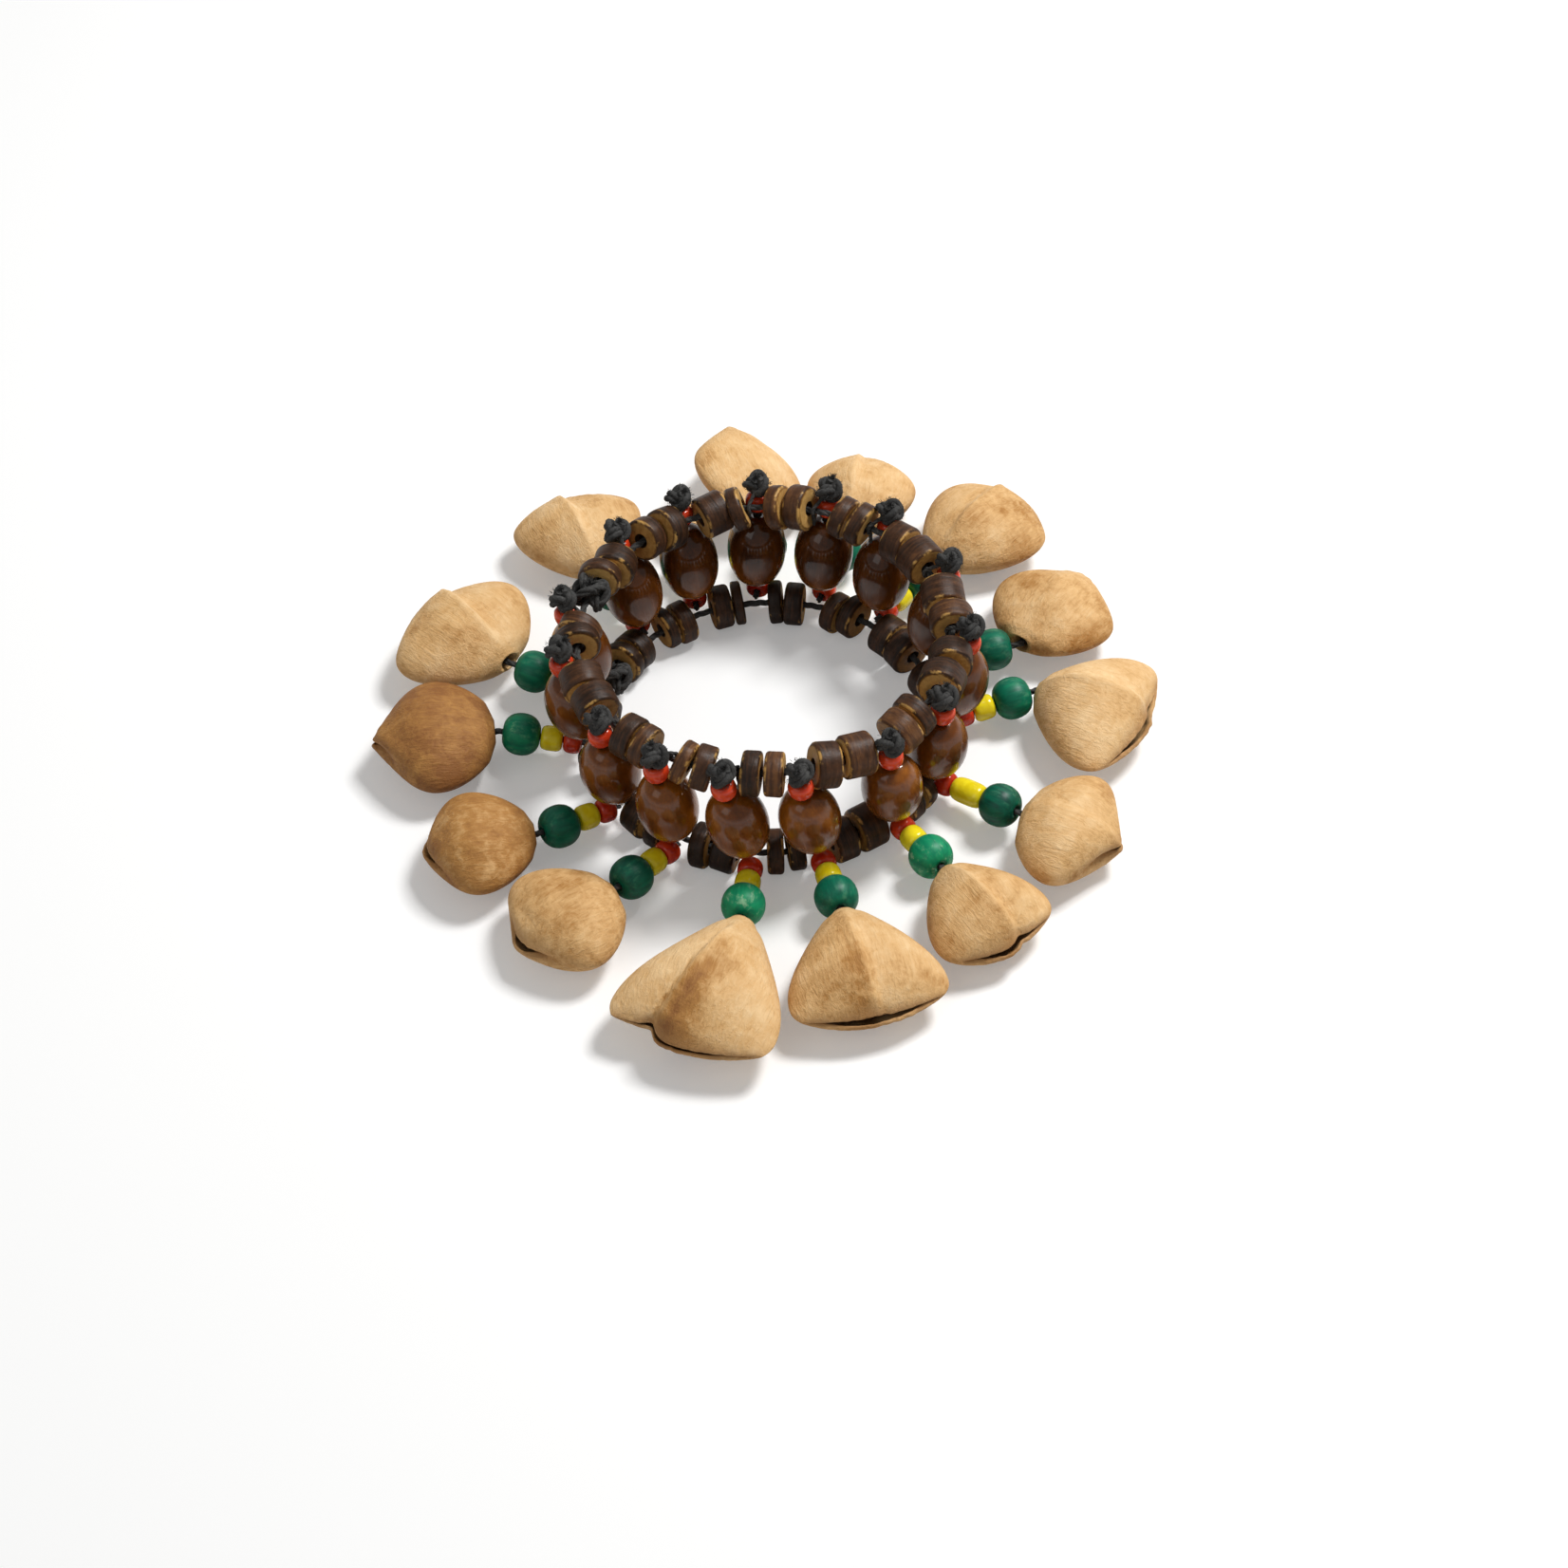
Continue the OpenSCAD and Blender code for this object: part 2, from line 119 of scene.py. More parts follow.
# %% Shader wrapper
class Wire:
    """An output socket of a node tree, which arithmetic can work on."""

    def __init__(self, tree, socket=None):
        self.tree = tree
        self.socket = socket

    def node(self, kind, settings=None, sockets=None, out=0):
        """Adds a node, sets it up, fills or links its sockets, and gives back one of its outputs."""
        made = self.tree.nodes.new(kind)
        for name, value in (settings or {}).items():
            if name == "stops":
                set_stops(made.color_ramp, value)
            else:
                setattr(made, name, value)
        for name, value in (sockets or {}).items():
            self.plug(value, made.inputs[name])
        return Wire(self.tree, made.outputs[out])

    def plug(self, value, socket):
        if isinstance(value, Wire):
            self.tree.links.new(value.socket, socket)
        else:
            socket.default_value = value

    def maths(self, operation, *values):
        return self.node("ShaderNodeMath", {"operation": operation}, dict(enumerate(values)))

    def __add__(self, other):
        return self.maths("ADD", self, other)

    __radd__ = __add__

    def __mul__(self, other):
        return self.maths("MULTIPLY", self, other)

    __rmul__ = __mul__

    def __sub__(self, other):
        return self.maths("SUBTRACT", self, other)

    def __rsub__(self, other):
        return self.maths("SUBTRACT", other, self)


def set_stops(ramp, stops):
    while len(ramp.elements) < len(stops):
        ramp.elements.new(1)
    for element, (place, colour) in zip(ramp.elements, stops):
        element.position = place
        element.color = (*colour, 1)


print("shader wrapper: ready")


# %% Shader helpers
MIX_SHARE, MIX_FIRST, MIX_SECOND, MIX_COLOUR_OUT = 0, 6, 7, 2


def new_finish(name):
    material = bpy.data.materials.new(name)
    material.use_nodes = True
    return material, Wire(material.node_tree), material.node_tree.nodes["Principled BSDF"].inputs


def attribute(wire, name, out="Fac"):
    return wire.node("ShaderNodeAttribute", {"attribute_name": name}, out=out)


def grain(wire, place, cells, detail=4, roughness=0.55, distortion=0):
    """Noise on a piece's own place; cells is how many noise cells there are to a millimetre each way."""
    spread = wire.node("ShaderNodeVectorMath", {"operation": "MULTIPLY"}, {0: place, 1: cells})
    return wire.node("ShaderNodeTexNoise", None, {
        "Vector": spread, "Scale": 1, "Detail": detail, "Roughness": roughness, "Distortion": distortion
    })


def between(value, low, high):
    """A mask that goes from 0 at low to 1 at high."""
    return value.node("ShaderNodeMapRange", {"interpolation_type": "SMOOTHSTEP"}, {
        "Value": value, "From Min": low, "From Max": high
    })


def ramp(value, stops):
    return value.node("ShaderNodeValToRGB", {"stops": stops}, {0: value})


def mixed(share, first, second):
    sockets = {MIX_SHARE: share, MIX_FIRST: first, MIX_SECOND: second}
    return share.node("ShaderNodeMix", {"data_type": "RGBA"}, sockets, out=MIX_COLOUR_OUT)


def bump(height, depth_mm, strength):
    sockets = {"Strength": strength, "Distance": depth_mm * MM, "Height": height}
    return height.node("ShaderNodeBump", None, sockets)


print("shader helpers: ready")

# %% [markdown]
# ## Floor and light
# The bracelet lies on a white table under one fairly hard lamp from the right and a little behind, with
# soft white fill all round. A point lamp would give knife-sharp shadows and a large one hardly any, so
# the key lamp is a small area light, and pods shade their neighbours. The floor is a pale matt plane that
# glows a little for the camera only. The sky is pale all round, and white low down, where the camera or a
# reflection looks past the floor.

# %% Lamps
KEY_TURN, KEY_HEIGHT = math.radians(32), math.radians(59)
KEY_DISTANCE, KEY_SIDE, KEY_WATTS = 0.9, 0.24, 7.8
FILL_PLACE, FILL_SIDE, FILL_WATTS = Vector((-0.55, -0.6, 0.75)), 0.6, 1.0


def add_lamp(name, place, side, watts):
    """An area light that shines at the middle of the object."""
    data = bpy.data.lights.new(name, "AREA")
    data.size = side
    data.energy = watts
    lamp = bpy.data.objects.new(name, data)
    bpy.context.scene.collection.objects.link(lamp)
    lamp.location = place
    lamp.rotation_euler = place.to_track_quat("Z", "Y").to_euler()


key_place = KEY_DISTANCE * Vector((
    math.cos(KEY_TURN) * math.cos(KEY_HEIGHT),
    math.sin(KEY_TURN) * math.cos(KEY_HEIGHT),
    math.sin(KEY_HEIGHT),
))
add_lamp("key", key_place, KEY_SIDE, KEY_WATTS)
add_lamp("fill", FILL_PLACE, FILL_SIDE, FILL_WATTS)
print("lamps: key of", KEY_WATTS, "W, fill of", FILL_WATTS, "W")

# %% Floor
FLOOR_SIDE = 1.1
FLOOR_COLOUR = (0.76, 0.76, 0.755, 1)
FLOOR_GLOW = 0.3

floor_mesh = bpy.data.meshes.new("floor")
floor_bm = bmesh.new()
bmesh.ops.create_grid(floor_bm, x_segments=1, y_segments=1, size=FLOOR_SIDE / 2)
floor_bm.to_mesh(floor_mesh)
floor_bm.free()
floor = bpy.data.objects.new("floor", floor_mesh)
bpy.context.scene.collection.objects.link(floor)
floor_material, floor_wire, floor_shader = new_finish("pale_floor")
floor_shader["Base Color"].default_value = FLOOR_COLOUR
floor_shader["Roughness"].default_value = 1
floor_shader["Specular IOR Level"].default_value = 0
floor_shader["Emission Color"].default_value = FLOOR_COLOUR
floor_seen = floor_wire.node("ShaderNodeLightPath", out="Is Camera Ray")
floor_wire.plug(floor_seen * FLOOR_GLOW, floor_shader["Emission Strength"])
floor_mesh.materials.append(floor_material)
print("floor:", FLOOR_SIDE, "m wide")

# %% Sky
SKY_STRENGTH, WHITE = 0.29, 0.95
WHITE_BAND = 0.3
LOOKING_RAYS = ("Is Camera Ray", "Is Glossy Ray", "Is Transmission Ray")

world = bpy.data.worlds.new("studio")
world.use_nodes = True
bpy.context.scene.world = world
sky = Wire(world.node_tree)
rays = [sky.node("ShaderNodeLightPath", out=name) for name in LOOKING_RAYS]
looked_at = sky.maths("MAXIMUM", sky.maths("MAXIMUM", rays[0], rays[1]), rays[2])
heading = sky.node("ShaderNodeTexCoord", out="Generated")
height = sky.node("ShaderNodeSeparateXYZ", None, {0: heading}, out="Z")
white_share = looked_at * between(height, WHITE_BAND, 0)
background = world.node_tree.nodes["Background"].inputs
sky.plug(SKY_STRENGTH + white_share * (WHITE - SKY_STRENGTH), background["Strength"])
background["Color"].default_value = (1, 1, 1, 1)
bpy.context.scene.view_settings.view_transform = "Standard"
print("sky: strength", SKY_STRENGTH, "with white below", WHITE_BAND)

# %% [markdown]
# ## Pod shell
# The pods are dry nut shells: pale tan and fibrous, with brown patches, specks and a dark rough inside.
# Noise on Object coordinates would run through all pods in one direction. So each pod carries its own
# place in millimetres as an attribute, with the first axis from cord hole to slit, and its fibres follow
# it. Four noises give patches, mottling, fibres and specks. Further attributes say how pale the shell is,
# with a painted highlight along each crease and painted shade beside it, and where its inside and its
# lips are.

# %% Pod shell
PALE_SHELL = (0.86, 0.605, 0.325)
TAN_SHELL = (0.70, 0.425, 0.18)
BROWN_SHELL = (0.44, 0.21, 0.056)
DARK_SHELL = (0.27, 0.11, 0.03)
INNER_SHELL = (0.21, 0.11, 0.045, 1)
LIP_SHELL = (0.40, 0.20, 0.07, 1)
SHELL_COLOURS = [(0.28, DARK_SHELL), (0.42, BROWN_SHELL), (0.55, TAN_SHELL), (0.72, PALE_SHELL)]
PATCH_PART, MOTTLE_PART, FIBRE_PART, SHELL_LIFT = 0.36, 0.32, 0.22, 0.09
SPECK_PART = 0.35
SHELL_RELIEF_MM = 0.45
FINISHES = {}


def pod_shell():
    material, wire, shader = new_finish("pod_shell")
    place = attribute(wire, "place", out="Vector")
    inside = attribute(wire, "inside")
    patches = grain(wire, place, (0.10, 0.10, 0.10), detail=2)
    mottle = grain(wire, place, (0.42, 0.34, 0.42), detail=6, roughness=0.66, distortion=0.5)
    fibres = grain(wire, place, (0.30, 1.7, 1.7), detail=4, roughness=0.6, distortion=0.8)
    specks = grain(wire, place, (2.6, 2.6, 2.6), detail=2)
    blotched = patches * PATCH_PART + mottle * MOTTLE_PART + fibres * FIBRE_PART
    # The tone attribute carries painted light on the pods: a highlight along the crease and shade beside it.
    shell = ramp(blotched + attribute(wire, "tone") + SHELL_LIFT, SHELL_COLOURS)
    speckled = mixed(between(specks, 0.66, 0.8) * SPECK_PART, shell, (*BROWN_SHELL, 1))
    lipped = mixed(attribute(wire, "lip") * between(mottle, 0.25, 0.6), speckled, LIP_SHELL)
    wire.plug(mixed(inside, lipped, INNER_SHELL), shader["Base Color"])
    wire.plug(0.72 - mottle * 0.22 + inside * 0.2, shader["Roughness"])
    wire.plug(bump(mottle * 0.6 + fibres * 0.8 + specks * 0.2, SHELL_RELIEF_MM, 0.7), shader["Normal"])
    shader["Specular IOR Level"].default_value = 0.25
    return material


def add_finish(slot, material):
    FINISHES[slot] = material
    print("finish:", slot, "of", len(material.node_tree.nodes), "nodes")


add_finish("pod_shell", pod_shell())

# %% [markdown]
# ## Lacquered wood
# The oval beads are dark wood under clear lacquer, which glows orange-brown where the light comes through.
# Real glass over wood would be slow to render, so a clear coat lies over a streaked dark colour, and an
# attribute paints the glow of that light into the colour, most of all at a bead's foot. It is lighter on
# the ovals at the front, and darker on the back ones as painted shade. As on all beads, the place has its
# third axis along the bore, so the grain runs from end to end.

# %% Lacquered wood
OVAL_COLOURS = [
    (0.05, (0.035, 0.010, 0.003)),
    (0.33, (0.145, 0.040, 0.004)),
    (0.6, (0.34, 0.11, 0.008)),
    (0.9, (0.50, 0.25, 0.018)),
]
CLOUD_PART, STREAK_PART, OVAL_DARK = 0.55, 0.34, 0.44
OVAL_RELIEF_MM = 0.05


def oval_lacquer():
    material, wire, shader = new_finish("oval_lacquer")
    place = attribute(wire, "place", out="Vector")
    streaks = grain(wire, place, (0.9, 0.9, 0.07), detail=5, roughness=0.6, distortion=0.3)
    clouds = grain(wire, place, (0.16, 0.16, 0.10), detail=2)
    # The attribute carries the painted glow of light through the lacquer, and painted shade on the back
    # ovals.
    amber = attribute(wire, "amber") + clouds * CLOUD_PART + streaks * STREAK_PART - OVAL_DARK
    wire.plug(ramp(amber, OVAL_COLOURS), shader["Base Color"])
    wire.plug(0.2 + streaks * 0.12, shader["Roughness"])
    wire.plug(bump(streaks, OVAL_RELIEF_MM, 0.4), shader["Normal"])
    shader["Specular IOR Level"].default_value = 0.12
    shader["Coat Weight"].default_value = 0.7
    shader["Coat Roughness"].default_value = 0.08
    return material


add_finish("oval_wood", oval_lacquer())

# %% [markdown]
# ## Coconut shell
# The discs show three things at once: a dark streaked skin round the rim, worn golden edges, and golden
# faces with a dark outer ring. Three materials would meet in hard lines, so one finish mixes them by
# masks. The masks are attributes that every disc brings along: its face, its edge, and how golden it is.

# %% Coconut shell
SKIN_COLOURS = [
    (0.25, (0.016, 0.007, 0.003)),
    (0.48, (0.066, 0.026, 0.010)),
    (0.66, (0.15, 0.062, 0.02)),
    (0.9, (0.46, 0.25, 0.085)),
]
FACE_COLOURS = [(0.15, (0.05, 0.022, 0.007)), (0.45, (0.32, 0.155, 0.035)), (0.8, (0.64, 0.39, 0.125))]
WORN_GOLD = (0.55, 0.31, 0.085, 1)
COCO_RELIEF_MM = 0.22


def coco_disc():
    material, wire, shader = new_finish("coco_disc")
    place = attribute(wire, "place", out="Vector")
    tone = attribute(wire, "tone")
    on_face = attribute(wire, "face")
    rings = grain(wire, place, (0.16, 0.16, 1.5), detail=5, roughness=0.62, distortion=0.6)
    pores = grain(wire, place, (1.3, 1.3, 1.3), detail=4, roughness=0.65)
    scuffs = grain(wire, place, (0.30, 0.30, 0.55), detail=4, roughness=0.6)
    skin = ramp(rings * 0.8 + pores * 0.3 + tone - 0.11, SKIN_COLOURS)
    face = ramp(attribute(wire, "gold") * 0.75 + pores * 0.5 + tone * 0.5 - 0.2, FACE_COLOURS)
    worn = attribute(wire, "edge") * between(scuffs + pores * 0.25 + tone * 0.3, 0.62, 0.76)
    wire.plug(mixed(worn, mixed(on_face, skin, face), WORN_GOLD), shader["Base Color"])
    wire.plug(0.3 + pores * 0.3 + on_face * 0.1, shader["Roughness"])
    wire.plug(bump(rings * 0.7 + pores * 0.5, COCO_RELIEF_MM, 0.6), shader["Normal"])
    shader["Specular IOR Level"].default_value = 0.25
    return material


add_finish("coco_disc", coco_disc())

# %% [markdown]
# ## Glass, dyed wood and cord
# The small beads are opaque glass, evenly coloured and very smooth, so a faint swirl is enough. The green
# beads are dyed wood, whose grain shows in the dye and wears pale. The cord is matt black cotton with
# some dust in it. A cord runs in all directions and has no grain of its own, so its noise lies on Object
# coordinates.

# %% Glass
GLASS_RELIEF_MM = 0.2


def bead_glass(name, deep, bright):
    material, wire, shader = new_finish(name)
    place = attribute(wire, "place", out="Vector")
    swirl = grain(wire, place, (0.35, 0.35, 0.5), detail=2, distortion=0.6)
    colour = ramp(swirl + attribute(wire, "tone"), [(0.3, deep), (0.75, bright)])
    wire.plug(colour, shader["Base Color"])
    wire.plug(0.1 + swirl * 0.14, shader["Roughness"])
    wire.plug(bump(swirl, GLASS_RELIEF_MM, 0.3), shader["Normal"])
    shader["Specular IOR Level"].default_value = 0.25
    shader["Coat Weight"].default_value = 0.3
    shader["Coat Roughness"].default_value = 0.06
    return material


add_finish("red_glass", bead_glass("red_glass", (0.42, 0.014, 0.006), (0.72, 0.062, 0.016)))
add_finish("yellow_glass", bead_glass("yellow_glass", (0.78, 0.60, 0.005), (0.94, 0.80, 0.025)))

# %% Dyed wood and cord
GREEN_COLOURS = [(0.2, (0.0, 0.055, 0.036)), (0.5, (0.0, 0.16, 0.085)), (0.8, (0.006, 0.33, 0.135))]
WORN_GREEN = (0.30, 0.55, 0.33, 1)
CORD_COLOURS = [(0.3, (0.011, 0.011, 0.011)), (0.8, (0.085, 0.083, 0.08))]
FUZZ_SCALE, DUST_SCALE = 2600, 420
WOOD_RELIEF_MM, CORD_RELIEF_MM = 0.1, 0.1


def green_wood():
    material, wire, shader = new_finish("green_wood")
    place = attribute(wire, "place", out="Vector")
    streaks = grain(wire, place, (0.9, 0.9, 0.12), detail=5, roughness=0.6, distortion=0.4)
    scuffs = grain(wire, place, (0.6, 0.6, 0.35), detail=5, roughness=0.7)
    dyed = ramp(streaks * 0.7 + attribute(wire, "tone"), GREEN_COLOURS)
    worn = attribute(wire, "worn") * between(scuffs, 0.5, 0.68) * between(streaks, 0.35, 0.6)
    wire.plug(mixed(worn, dyed, WORN_GREEN), shader["Base Color"])
    wire.plug(0.34 + streaks * 0.2, shader["Roughness"])
    wire.plug(bump(streaks + scuffs * 0.5, WOOD_RELIEF_MM, 0.5), shader["Normal"])
    shader["Specular IOR Level"].default_value = 0.3
    return material


def black_cord():
    material, wire, shader = new_finish("black_cord")
    place = wire.node("ShaderNodeTexCoord", out="Object")
    fuzz, dust = (
        wire.node("ShaderNodeTexNoise", None, {"Vector": place, "Scale": scale, "Detail": 3})
        for scale in (FUZZ_SCALE, DUST_SCALE)
    )
    wire.plug(ramp(fuzz * 0.6 + dust * 0.5, CORD_COLOURS), shader["Base Color"])
    wire.plug(0.75 + fuzz * 0.2, shader["Roughness"])
    wire.plug(bump(fuzz, CORD_RELIEF_MM, 0.6), shader["Normal"])
    shader["Specular IOR Level"].default_value = 0.2
    return material


add_finish("green_wood", green_wood())
add_finish("black_cord", black_cord())

# %% [markdown]
# ## Reading places from the frame
# Numbers copied from the construction would be wrong after its next change, so nothing here is placed by
# hand. A node of the frame can hold several separate solids, such as thirty discs, and each of them says
# where it is: its middle, its size, and the way its bore runs. A merged copy of the node's mesh is split
# into its solids by walking from corner to corner along the edges.

# %% Solids of a node
MERGE = 0.001 * MM


def solids(node):
    """The separate solids of a node, each an array of its corners in millimetres."""
    bm = bmesh.new()
    bm.from_mesh(frame["nodes"][node].data)
    bmesh.ops.remove_doubles(bm, verts=bm.verts, dist=MERGE)
    seen = set()
    found = []
    for start in bm.verts:
        if start in seen:
            continue
        seen.add(start)
        waiting = [start]
        corners = []
        while waiting:
            corner = waiting.pop()
            corners.append(corner.co / MM)
            for edge in corner.link_edges:
                other = edge.other_vert(corner)
                if other not in seen:
                    seen.add(other)
                    waiting.append(other)
        found.append(np.array(corners))
    bm.free()
    return found


oval_solids = solids("oval_beads")
print("solids:", len(oval_solids), "ovals of", [round(v, 1) for v in np.ptp(oval_solids[0], axis=0)], "mm")


# %% Places and directions
def middle(corners):
    return Vector((corners.min(0) + corners.max(0)) / 2)


def widest_line(corners):
    """The unit direction in which the corners spread most."""
    _, vectors = np.linalg.eigh(np.cov((corners - corners.mean(0)).T))
    return Vector(vectors[:, -1])


def outward(place):
    """The level unit direction from the ring's axis to a place."""
    return Vector((place.x, place.y, 0)).normalized()


def joint_place(name):
    return Vector(joints[name]["pos_m"]) / MM


def aimed(place, along):
    """The matrix that puts a piece made on the Z axis, in millimetres, at its place, in metres."""
    turn = along.to_track_quat("Z", "Y").to_matrix().to_4x4()
    return Matrix.Scale(MM, 4) @ Matrix.Translation(place) @ turn


first_hinge = joint_place("strand_01_swing")
print("hinge of strand 01:", [round(v, 1) for v in first_hinge], "mm")

# %% [markdown]
# ## From bmesh to piece
# Every piece ends the same way: its mesh goes into an object that sits at the origin, takes its finish,
# rides on its body of the frame and stands for the node it replaces. Pieces that are groups, such as the
# discs, are gathered from many small bmeshes first, which is lighter than thirty objects. Each part keeps
# its place from before it was moved as an attribute, for the grain of its finish, with an offset so that
# no two are alike.

# %% Piece helpers
PLACE = "place"
SEED_STEP = 31.7


def gather(group, bm, matrix, seed, **values):
    """Adds a bmesh made in millimetres to a group, with its own place and other values as attributes."""
    offset = SEED_STEP * Vector((seed, 0.6 * seed, 0.3 * seed))
    place = bm.verts.layers.float_vector.get(PLACE) or bm.verts.layers.float_vector.new(PLACE)
    for vert in bm.verts:
        vert[place] = vert.co + offset
    for name, value in values.items():
        layer = bm.verts.layers.float.get(name) or bm.verts.layers.float.new(name)
        for vert in bm.verts:
            vert[layer] = value(vert.co) if callable(value) else value
    bmesh.ops.transform(bm, matrix=matrix, verts=bm.verts)
    mesh = bpy.data.meshes.new("part")
    bm.to_mesh(mesh)
    bm.free()
    group.append(mesh)


def joined(group):
    """One mesh of all the meshes in a group."""
    whole = bmesh.new()
    for mesh in group:
        whole.from_mesh(mesh)
    made = bpy.data.meshes.new("whole")
    whole.to_mesh(made)
    whole.free()
    for mesh in group:
        bpy.data.meshes.remove(mesh)
    return made


def piece(name, mesh, body, node, slot):
    mesh.name = name
    mesh.materials.clear()
    mesh.materials.append(FINISHES[slot])
    mesh.shade_smooth()
    made = bpy.data.objects.new(name, mesh)
    bpy.context.scene.collection.objects.link(made)
    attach(made, body)
    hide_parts(node)


print("piece helpers: ready")

# %% [markdown]
# ## Turned beads
# Beads are round with a bore. A scaled sphere would have no hole, so they are made as on a lathe: half of
# the section is drawn as an outline beside the Z axis, and `spin` turns it once round. A superellipse
# gives every outline: power 2 is an ellipse, as on the ovals, and a higher power has fuller shoulders, as
# on the glass beads. The outline is closed along the bore.

# %% Lathe
def bead_outline(bore, radius, half, power, points):
    outline = []
    for k in range(points):
        turn = math.pi * (k / (points - 1) - 0.5)
        out = abs(math.cos(turn)) ** (2 / power)
        along = math.copysign(abs(math.sin(turn)) ** (2 / power), turn)
        outline.append((bore + (radius - bore) * out, half * along))
    return outline


def turned(outline, steps):
    """A bmesh of a closed outline of (radius, height) points, spun about the Z axis."""
    bm = bmesh.new()
    corners = [bm.verts.new((radius, 0, height)) for radius, height in outline]
    for first, second in zip(corners, corners[1:] + corners[:1]):
        bm.edges.new((first, second))
    bmesh.ops.spin(bm, geom=bm.verts[:] + bm.edges[:], cent=(0, 0, 0), axis=(0, 0, 1), dvec=(0, 0, 0),
                   angle=2 * math.pi, steps=steps, use_merge=True)
    bmesh.ops.remove_doubles(bm, verts=bm.verts, dist=MERGE)
    bmesh.ops.recalc_face_normals(bm, faces=bm.faces)
    return bm


def bead_sizes(corners, along):
    """The middle, the half length, the radius and the bore of a bead whose bore runs along a direction."""
    centre = middle(corners)
    offsets = corners - np.array(centre)
    heights = offsets @ np.array(along)
    radii = np.linalg.norm(offsets - np.outer(heights, along), axis=1)
    return centre, np.ptp(heights) / 2, radii.max(), radii.min()


print("lathe: ready")

# %% Oval beads
OVAL_STEPS, OVAL_POINTS = 48, 23
OVAL_POWER = 2.05
# Painted light: the front ovals are lighter, the back ones darker, and each bead's foot glows as if lit
# through.
AMBER, PAINTED_LIGHT_AT_FRONT, PAINTED_GLOW_AT_FOOT = 0.27, 0.12, 0.36
ovals = []
oval_lines = []
for number, corners in enumerate(oval_solids):
    along = widest_line(corners)
    along *= math.copysign(1, along.z)
    centre, half, radius, bore = bead_sizes(corners, along)
    oval_lines.append((centre, along, half))

    def amber(co, half=half, whole=AMBER - PAINTED_LIGHT_AT_FRONT * outward(centre).y):
        return whole + PAINTED_GLOW_AT_FOOT * max(0, -co.z / half)

    bm = turned(bead_outline(bore, radius, half, OVAL_POWER, OVAL_POINTS), OVAL_STEPS)
    gather(ovals, bm, aimed(centre, along), number, amber=amber)
piece("oval_beads_turned", joined(ovals), "ring", "oval_beads", "oval_wood")
print("ovals:", len(oval_lines), "of", round(2 * half, 1), "by", round(2 * radius, 1), "mm")

# %% [markdown]
# ## Coconut discs
# The discs are slices of coconut shell, drilled, tumbled and threaded on the two elastics. Thirty copies
# of one disc would look cast, so each is turned anew: they differ in thickness, width and colour, and in
# how far their skin has worn to gold at the edges. The outline has a rounded rim, and noise moves the rim
# a little so that it looks cut by hand. The discs lean on their cord, and none sinks into the table.
# Attributes mark faces, edges and the gold part.

# %% Shape of a disc
DISC_STEPS = 40
RIM_ROUND = 0.6
RIM_WOBBLE, WOBBLE_CELLS = 0.25, 0.35
BORE_ROUND = (0.15, 0.1)
FACE_DEPTH, FACE_INSET = 0.02, 0.55
EDGE_DEPTH, EDGE_WIDTH = 0.4, 0.5
GOLD_SHARE, DARK_RING = 0.84, 0.35


def disc_outline(bore, radius, half):
    soft = min(RIM_ROUND, half / 2)
    corner = [(radius - soft + soft * math.sin(a), half - soft + soft * math.cos(a))
              for a in (0, math.pi / 6, math.pi / 3, math.pi / 2)]
    hole = [(bore, half - BORE_ROUND[1]), (bore + BORE_ROUND[0], half)]
    upper = hole + [((bore + radius) / 2, half), (radius * 0.8, half)] + corner
    return upper + [(r, -h) for r, h in reversed(upper)]


def disc_marks(half, radius, gilt):
    """The attributes of a disc, each a value at a corner."""
    def face(co):
        return 1.0 if abs(co.z) > half - FACE_DEPTH and co.xy.length < radius - FACE_INSET else 0.0

    def edge(co):
        return 1.0 if abs(co.z) > half - EDGE_DEPTH and co.xy.length > radius - EDGE_WIDTH else 0.0

    def gold(co):
        return gilt if co.xy.length < radius * GOLD_SHARE else DARK_RING

    return {"face": face, "edge": edge, "gold": gold}


def cut_disc(bore, radius, half, number):
    bm = turned(disc_outline(bore, radius, half), DISC_STEPS)
    for vert in bm.verts:
        if vert.co.xy.length > radius / 2:
            wobble = noise.noise(vert.co * WOBBLE_CELLS + Vector((9 * number, 0, 0)))
            vert.co.xy *= 1 - RIM_WOBBLE * abs(wobble) / radius
    return bm


print("disc:", len(disc_outline(1, 4, 1)), "points to an outline")

# %% Rings of discs
THICKNESS_SPREAD, WIDTH_SPREAD, GILT_SPREAD = (0.97, 1.04), (1, 1.08), (0.55, 1)
DISC_LEAN, LEAN_CELLS = math.radians(27), 2.1
DISC_SLIP = 0.35
ANY_TURN = 6
UPPER_TONES = (-0.14, -0.1, -0.07, -0.04, -0.02, 0.03, 0.1)
LOWER_TONES = (-0.22, -0.16, -0.1, -0.06)


